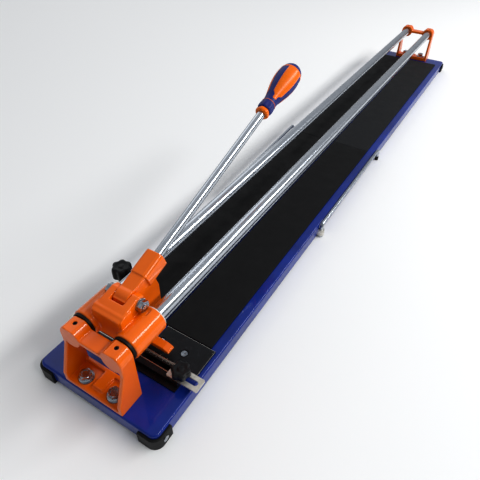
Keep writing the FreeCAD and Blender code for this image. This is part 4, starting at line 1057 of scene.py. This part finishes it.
@dataclass
class HexHeads:
    """Bolt heads with a washer face, a chamfered hexagon and a dished top.

    Attributes:
        flats: the width across the flats.
        height: the height of the hexagon.
        flange: the radius of the flange, or zero for none.
        flange_thick: the thickness of the flange.
        dish: the radius and depth of the dish in the top.
        fall_deg: how steeply the chamfer falls.
    """

    flats: float = 13 * MM
    height: float = 6 * MM
    flange: float = 8.6 * MM
    flange_thick: float = 1.6 * MM
    dish: tuple[float, float] = (4.3 * MM, 0.9 * MM)
    fall_deg: float = 38.0

    def head(self, seat: Array, along: Array, across: Array, turn: float) -> list[Array]:
        """One head, from its seat outwards.

        The hexagon's radius at an angle is half the width across the flats over
        the cosine of the angle from the nearest flat's middle. The top's height
        is the smaller of the full height and a cone that falls from just inside
        the circle between the flats, which cuts the corners off.

        Args:
            seat: the middle of the face that the head sits on.
            along: the way that the head points.
            across: a direction square to it.
            turn: the angle of the first flat.

        Returns:
            The grids.
        """
        axis = Axis(seat, along, across)
        angle = np.linspace(0, 2 * math.pi, 73)[None, :]
        sector = (angle - turn + math.pi / 6) % (math.pi / 3) - math.pi / 6
        hexagon = self.flats / 2 / np.cos(sector)
        base = self.flange_thick if self.flange else 0.0
        full = base + self.height
        grids = []
        if self.flange:
            loop = np.array([(0, 0), (0, 1), (0.55, 1), (0.8, 0.97), (1.35, 0.8), (1.4, 0.7)])
            grids.append(axis.turned(loop[:, :1] * self.flange_thick,
                                     loop[:, 1:] * self.flange, angle))
        share = np.array([0.0, 0.5, 0.72, 0.9, 0.97, 1.0])[:, None]
        out = share * (hexagon - self.dish[0]) + self.dish[0]
        limit = self.flats / 2 * 0.97
        top = full - np.clip(out - limit, 0, None) * math.tan(math.radians(self.fall_deg))
        rim = np.linspace(0, 1, 3)[:, None]
        side = axis.turned(base * (1 - rim) + top[-1:] * rim, hexagon + 0 * rim, angle)
        inner = np.array([(0.0, 1.0), (0.5, 0.93), (1.0, 0.86), (1.0, 0.0)])
        dish = axis.turned(full - inner[:, :1] * self.dish[1], inner[:, 1:] * self.dish[0], angle)
        return grids + [axis.turned(top, out, angle), side, dish]


@dataclass
class BracketBolts:
    """The four flanged bolts that hold the rail brackets down.

    Attributes:
        half_gap: half the distance between the two bolts of a bracket.
        shank: the radius of a shank.
        turns: how each bolt happened to stop when it was tightened.
    """

    half_gap: float = 22 * MM
    shank: float = 4 * MM
    turns: tuple[float, ...] = (0.2, 0.75, 0.5, 1.0)

    def build(self) -> None:
        """Builds the heads and shanks in one piece and puts them on the base."""
        low, high = box_of("bracket_bolts")
        seat = box_of("bracket_washers")[1][2]
        heads = HexHeads()
        up, right = np.array([0.0, 0.0, 1.0]), np.array([1.0, 0.0, 0.0])
        grids = []
        spots = [(x, y) for x in (-self.half_gap, self.half_gap)
                 for y in (low[1] + heads.flange, high[1] - heads.flange)]
        for (x, y), turn in zip(spots, self.turns):
            grids += heads.head(np.array([x, y, seat]), up, right, turn)
            loop = np.array([(low[2], 0.0), (low[2], 0.9), (low[2] + 0.6 * MM, 1.0), (seat, 1.0)])
            angle = np.linspace(0, 2 * math.pi, 25)[None, :]
            grids.append(Axis(np.array([x, y, 0.0]), up, right).turned(
                loop[:, :1], loop[:, 1:] * self.shank, angle))
        piece = mesh_from_grids("bracket_bolts_hex", grids, [Finish.BRIGHT_ZINC],
                                flat_above_deg=25)
        place_piece(piece, "bracket_bolts", ["bracket_bolts"])


@dataclass
class ScaleMarks:
    """The fine graduations cut into the fence and the ruler plates.

    Attributes:
        pitch: the distance between marks.
        width: the width of a mark.
        proud: how far the filling stands out of its groove.
        lengths: the lengths of the ones, fives and tens.
    """

    pitch: float = 1 * MM
    width: float = 0.28 * MM
    proud: float = 0.03 * MM
    lengths: tuple[float, float, float] = (2.2 * MM, 3.0 * MM, 4.0 * MM)

    def row(self, node: str, at_y: float, toward: float) -> Array:
        """The corners of every mark along one edge of a node's top.

        Marks are one pitch apart from the gap outwards, and every fifth and
        tenth is longer.

        Args:
            node: the fence half or plate.
            at_y: where the marks start.
            toward: the sign of the way that they run.

        Returns:
            Marks by eight corners by three.
        """
        low, high = box_of(node)
        count = int((high[0] - low[0] - 2 * MM) / self.pitch)
        number = np.arange(1, count + 1)
        sign = 1.0 if low[0] > 0 else -1.0
        inner = low[0] if low[0] > 0 else high[0]
        x = inner + sign * number * self.pitch
        long = np.choose((number % 5 == 0).astype(int) + (number % 10 == 0), self.lengths)
        corner = np.array([(a, b, c) for c in (0, 1) for b in (0, 1) for a in (0, 1)], float)
        marks = np.empty((count, 8, 3))
        marks[..., 0] = x[:, None] + (corner[:, 0] - 0.5) * self.width
        marks[..., 1] = at_y + toward * corner[:, 1] * long[:, None]
        marks[..., 2] = high[2] + (2 * corner[:, 2] - 1) * self.proud
        return marks

    def build(self) -> None:
        """Builds the marks in one piece per node and puts them on the base."""
        ring = np.array([(0, 2, 3, 1), (4, 5, 7, 6), (0, 1, 5, 4), (1, 3, 7, 5), (3, 2, 6, 7),
                         (2, 0, 4, 6)])
        for node in ("fence_left", "fence_right", "ruler_plate_left", "ruler_plate_right"):
            low, high = box_of(node)
            fence = node.startswith("fence")
            marks = self.row(node, high[1] - 0.4 * MM if fence else low[1] + 0.4 * MM,
                             -1.0 if fence else 1.0)
            faces = (np.arange(len(marks))[:, None, None] * 8 + ring).reshape(-1, 4)
            mesh = bpy.data.meshes.new(node + "_scale")
            mesh.from_pydata(marks.reshape(-1, 3).tolist(), [], faces.tolist())
            shape = bmesh.new()
            shape.from_mesh(mesh)
            bmesh.ops.recalc_face_normals(shape, faces=shape.faces)
            shape.to_mesh(mesh)
            shape.free()
            place_piece(finished(node + "_scale", mesh, [Finish.TICKS]), node)


@dataclass
class PaintedHighlightStrips:
    """Painted highlights on the black fence and the ruler plates, drawn as thin pale metal strips.

    Attributes:
        bands: for each painted highlight line on the fence, where it starts and ends across the fence.
        rim: the width of a plate's painted highlight rim.
        proud: how far the painted highlight strips stand out of the black.
    """

    bands: tuple[tuple[float, float], ...] = ((12.9 * MM, 13.7 * MM), (25.2 * MM, 25.9 * MM))
    rim: float = 0.35 * MM
    proud: float = 0.03 * MM

    def strip(self, low: Sequence[float], high: Sequence[float], top: float) -> list[Array]:
        """One painted highlight line between two corners, let into a face at a height."""
        return rounded_block((low[0], low[1], top - self.proud),
                             (high[0], high[1], top + self.proud), 0.4 * self.proud, (24, 24, 1))

    def build(self) -> None:
        """Builds the painted highlight strips and puts them on the base."""
        # Painted highlight lines along the fence top, where the slot lips catch the light.
        for node in ("fence_left", "fence_right"):
            low, high = box_of(node)
            grids = []
            for start, end in self.bands:
                grids += self.strip((low[0] + 0.3 * MM, low[1] + start),
                                    (high[0] - 0.3 * MM, low[1] + end), high[2])
            place_piece(mesh_from_grids(node + "_painted_highlight", grids, [Finish.BRIGHT_CUT]), node)
        # Painted highlight rims along the ruler plates' edges.
        for node in ("ruler_plate_left", "ruler_plate_right"):
            low, high = box_of(node)
            outer = (low[0], low[0] + self.rim) if high[0] < 0 else (high[0] - self.rim, high[0])
            grids = self.strip((low[0], high[1] - self.rim), (high[0], high[1]), high[2])
            grids += self.strip((outer[0], low[1]), (outer[1], high[1] - 2 * self.rim), high[2])
            place_piece(mesh_from_grids(node + "_painted_highlight", grids, [Finish.BRIGHT_CUT]), node)


@dataclass
class PlainNodes:
    """The nodes that take a finish on their own shape.

    Attributes:
        finishes: the nodes that each finish goes on.
    """

    finishes: dict[Finish, tuple[str, ...]] = field(default_factory=lambda: {
        Finish.BLUE: ("base_plate",),
        Finish.GALVANISED: ("stiffening_channel",),
        Finish.CAP_RUBBER: ("corner_cap_1", "corner_cap_2", "corner_cap_3", "corner_cap_4",
                            "wiper_seals", "arm_tip_left", "arm_tip_right"),
        Finish.CHROME: ("rail_left", "rail_right", "support_arm_left", "support_arm_right",
                        "lever_rod"),
        Finish.BRIGHT_ZINC: ("cap_screws", "bracket_washers", "bracket_nuts", "pivot_bolt",
                             "pivot_nut", "pivot_washers", "ruler_plate_screws",
                             "arm_retainer_left", "arm_retainer_right", "foot_pin", "wheel_axle",
                             "stop_stud", "mitre_stud", "breaker_bar"),
        Finish.BLACK_OXIDE: ("rail_set_screws", "rod_set_screw", "fence_screws",
                             "mitre_pivot_screw", "stop_tnut"),
        Finish.ZINC_PLATE: ("stop_bar", "mitre_plate", "mitre_spacers", "arm_lug_left",
                            "arm_lug_right"),
        Finish.BRONZE: ("slide_bushes",),
        Finish.NYLON: ("end_rings",),
        Finish.CARBIDE: ("scoring_wheel",),
        Finish.FENCE: ("fence_left", "fence_right"),
        Finish.RULER: ("ruler_plate_left", "ruler_plate_right"),
    })

    def build(self, frame: dict) -> None:
        """Gives each node its material.

        Args:
            frame: the loaded frame.
        """
        for finish, names in self.finishes.items():
            for name in names:
                mesh = frame["nodes"][name].data
                mesh.materials.clear()
                mesh.materials.append(finish.made)
                LOG.info("%s: %s", name, finish.value.name)


# ------------------------------------------------------------------- the studio

@dataclass
class Studio:
    """The plain floor, the soft lights and the camera.

    Attributes:
        eye: the camera's place.
        forward: the way that it looks.
        up: the way that is up in its view.
        lens: its focal length in millimetres, on a 36 mm sensor.
    """

    eye: tuple[float, float, float] = (0.2703, -0.8061, 0.4955)
    forward: tuple[float, float, float] = (-0.3803, 0.6467, -0.6612)
    up: tuple[float, float, float] = (-0.3575, 0.5565, 0.7500)
    lens: float = 33.64

    def camera(self) -> None:
        """Adds the camera, with its three axes worked out from two."""
        data = bpy.data.cameras.new("camera")
        data.lens = self.lens
        data.sensor_width = 36.0
        data.clip_start = 0.02
        data.clip_end = 60.0
        camera = bpy.data.objects.new("camera", data)
        back = -Vector(self.forward).normalized()
        right = Vector(self.up).cross(back).normalized()
        upward = back.cross(right)
        camera.matrix_world = Matrix((
            (right.x, upward.x, back.x, self.eye[0]), (right.y, upward.y, back.y, self.eye[1]),
            (right.z, upward.z, back.z, self.eye[2]), (0.0, 0.0, 0.0, 1.0)))
        bpy.context.scene.collection.objects.link(camera)
        bpy.context.scene.camera = camera

    def light(self, name: str, place: tuple[float, float, float], aim: tuple[float, float, float],
              size: tuple[float, float], watts: float, colour: str = "#FFFFFF") -> None:
        """Adds a soft box.

        Args:
            name: its name.
            place: where it stands.
            aim: the point that it faces.
            size: its width, and its length along Y.
            watts: its power.
            colour: its colour.
        """
        data = bpy.data.lights.new(name, "AREA")
        data.shape = "RECTANGLE"
        data.size, data.size_y = size
        data.energy = watts
        data.color = linear(colour)[:3]
        lamp = bpy.data.objects.new(name, data)
        back = (Vector(place) - Vector(aim)).normalized()
        side = Vector((0.0, 1.0, 0.0)).cross(back).normalized()
        along = back.cross(side)
        lamp.matrix_world = Matrix((
            (side.x, along.x, back.x, place[0]), (side.y, along.y, back.y, place[1]),
            (side.z, along.z, back.z, place[2]), (0.0, 0.0, 0.0, 1.0)))
        bpy.context.scene.collection.objects.link(lamp)

    def floor(self) -> None:
        """Adds the pale floor as a wide sheet that is not part of the object."""
        side = np.linspace(-8.0, 8.0, 3)
        grid = np.stack([*np.meshgrid(side, side, indexing="ij"), np.zeros((3, 3))], -1)
        mesh = bpy.data.meshes.new("floor")
        index = np.arange(9).reshape(3, 3)
        quads = np.stack([index[:-1, :-1], index[1:, :-1], index[1:, 1:], index[:-1, 1:]], -1)
        mesh.from_pydata(grid.reshape(-1, 3).tolist(), [], quads.reshape(-1, 4).tolist())
        pale = bpy.data.materials.new("pale_floor")
        pale.use_nodes = True
        shader = pale.node_tree.nodes["Principled BSDF"]
        shader.inputs["Base Color"].default_value = linear("#F4F4F3")
        shader.inputs["Roughness"].default_value = 0.9
        shader.inputs["Specular IOR Level"].default_value = 0.1
        mesh.materials.append(pale)
        floor = bpy.data.objects.new("floor", mesh)
        bpy.context.scene.collection.objects.link(floor)

    def world(self) -> None:
        """Sets a pale surround that is brightest above and behind the object.

        The brightness rises with the cosine of the angle from the bright side.
        """
        world = bpy.data.worlds.new("studio")
        world.use_nodes = True
        tree = world.node_tree
        tree.nodes.clear()
        way = add_node(tree, "ShaderNodeTexCoord").outputs["Generated"]
        facing = add_node(tree, "ShaderNodeVectorMath", {0: way, 1: (-0.3, 0.42, 0.86)},
                          operation="DOT_PRODUCT")
        strength = add_node(tree, "ShaderNodeMapRange",
                            {0: facing.outputs["Value"], 1: -0.3, 2: 1.0, 3: 0.1, 4: 0.52})
        back = add_node(tree, "ShaderNodeBackground", {"Color": linear("#F2F5FA"),
                                                       "Strength": strength.outputs[0]})
        add_node(tree, "ShaderNodeOutputWorld", {"Surface": back.outputs[0]})
        bpy.context.scene.world = world

    def build(self) -> None:
        """Sets up the whole studio."""
        self.camera()
        self.floor()
        self.world()
        self.light("key_strip", (1.8, 0.6, 1.75), (0.0, 0.0, 0.0), (0.4, 3.2), 50.0)
        self.light("left_fill", (-1.8, 1.0, 1.6), (0.0, 0.0, 0.05), (1.4, 2.4), 7.0)
        settings = bpy.context.scene.view_settings
        settings.view_transform = "Standard"
        settings.gamma = 0.8
        settings.exposure = 0.38


# ------------------------------------------------------------------------ main

def collar_measures() -> tuple[float, float, float]:
    """Gives the collar's length and radius, and the radius of the rod in it."""
    collar_low, collar_high = box_of("grip_collar")
    rod_low, rod_high = box_of("lever_rod")
    return COLLAR_LENGTH, (collar_high[0] - collar_low[0]) / 2, (rod_high[0] - rod_low[0]) / 2


def make_grip() -> Grip:
    """Measures the grip from its nodes.

    Returns:
        The grip, ready to build.
    """
    pivot, core = centre_of("pivot_bolt"), centre_of("grip_core")
    core_length = tilted_bar("grip_core")[1]
    sleeve_low, sleeve_high = box_of("grip_sleeve")
    start = float(np.linalg.norm((core - pivot)[1:])) - core_length / 2
    return Grip(pivot * np.array([0.0, 1.0, 1.0]), core, start, core_length + BUTT_LENGTH,
                (sleeve_high[0] - sleeve_low[0]) / 2)


def main() -> None:
    """Builds every sub-assembly."""
    logging.basicConfig(level=logging.INFO, format="%(name)s %(message)s")
    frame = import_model()
    Studio().build()
    PlainNodes().build(frame)
    Castings(frame).build()
    make_grip().build(collar_measures())
    RoundBars().build()
    ClampKnob("stop_knob", turn=0.3).build()
    ClampKnob("mitre_knob", turn=0.1).build()
    BedPads().build()
    BracketBolts().build()
    ScaleMarks().build()
    PaintedHighlightStrips().build()


if __name__ == "__main__":
    main()
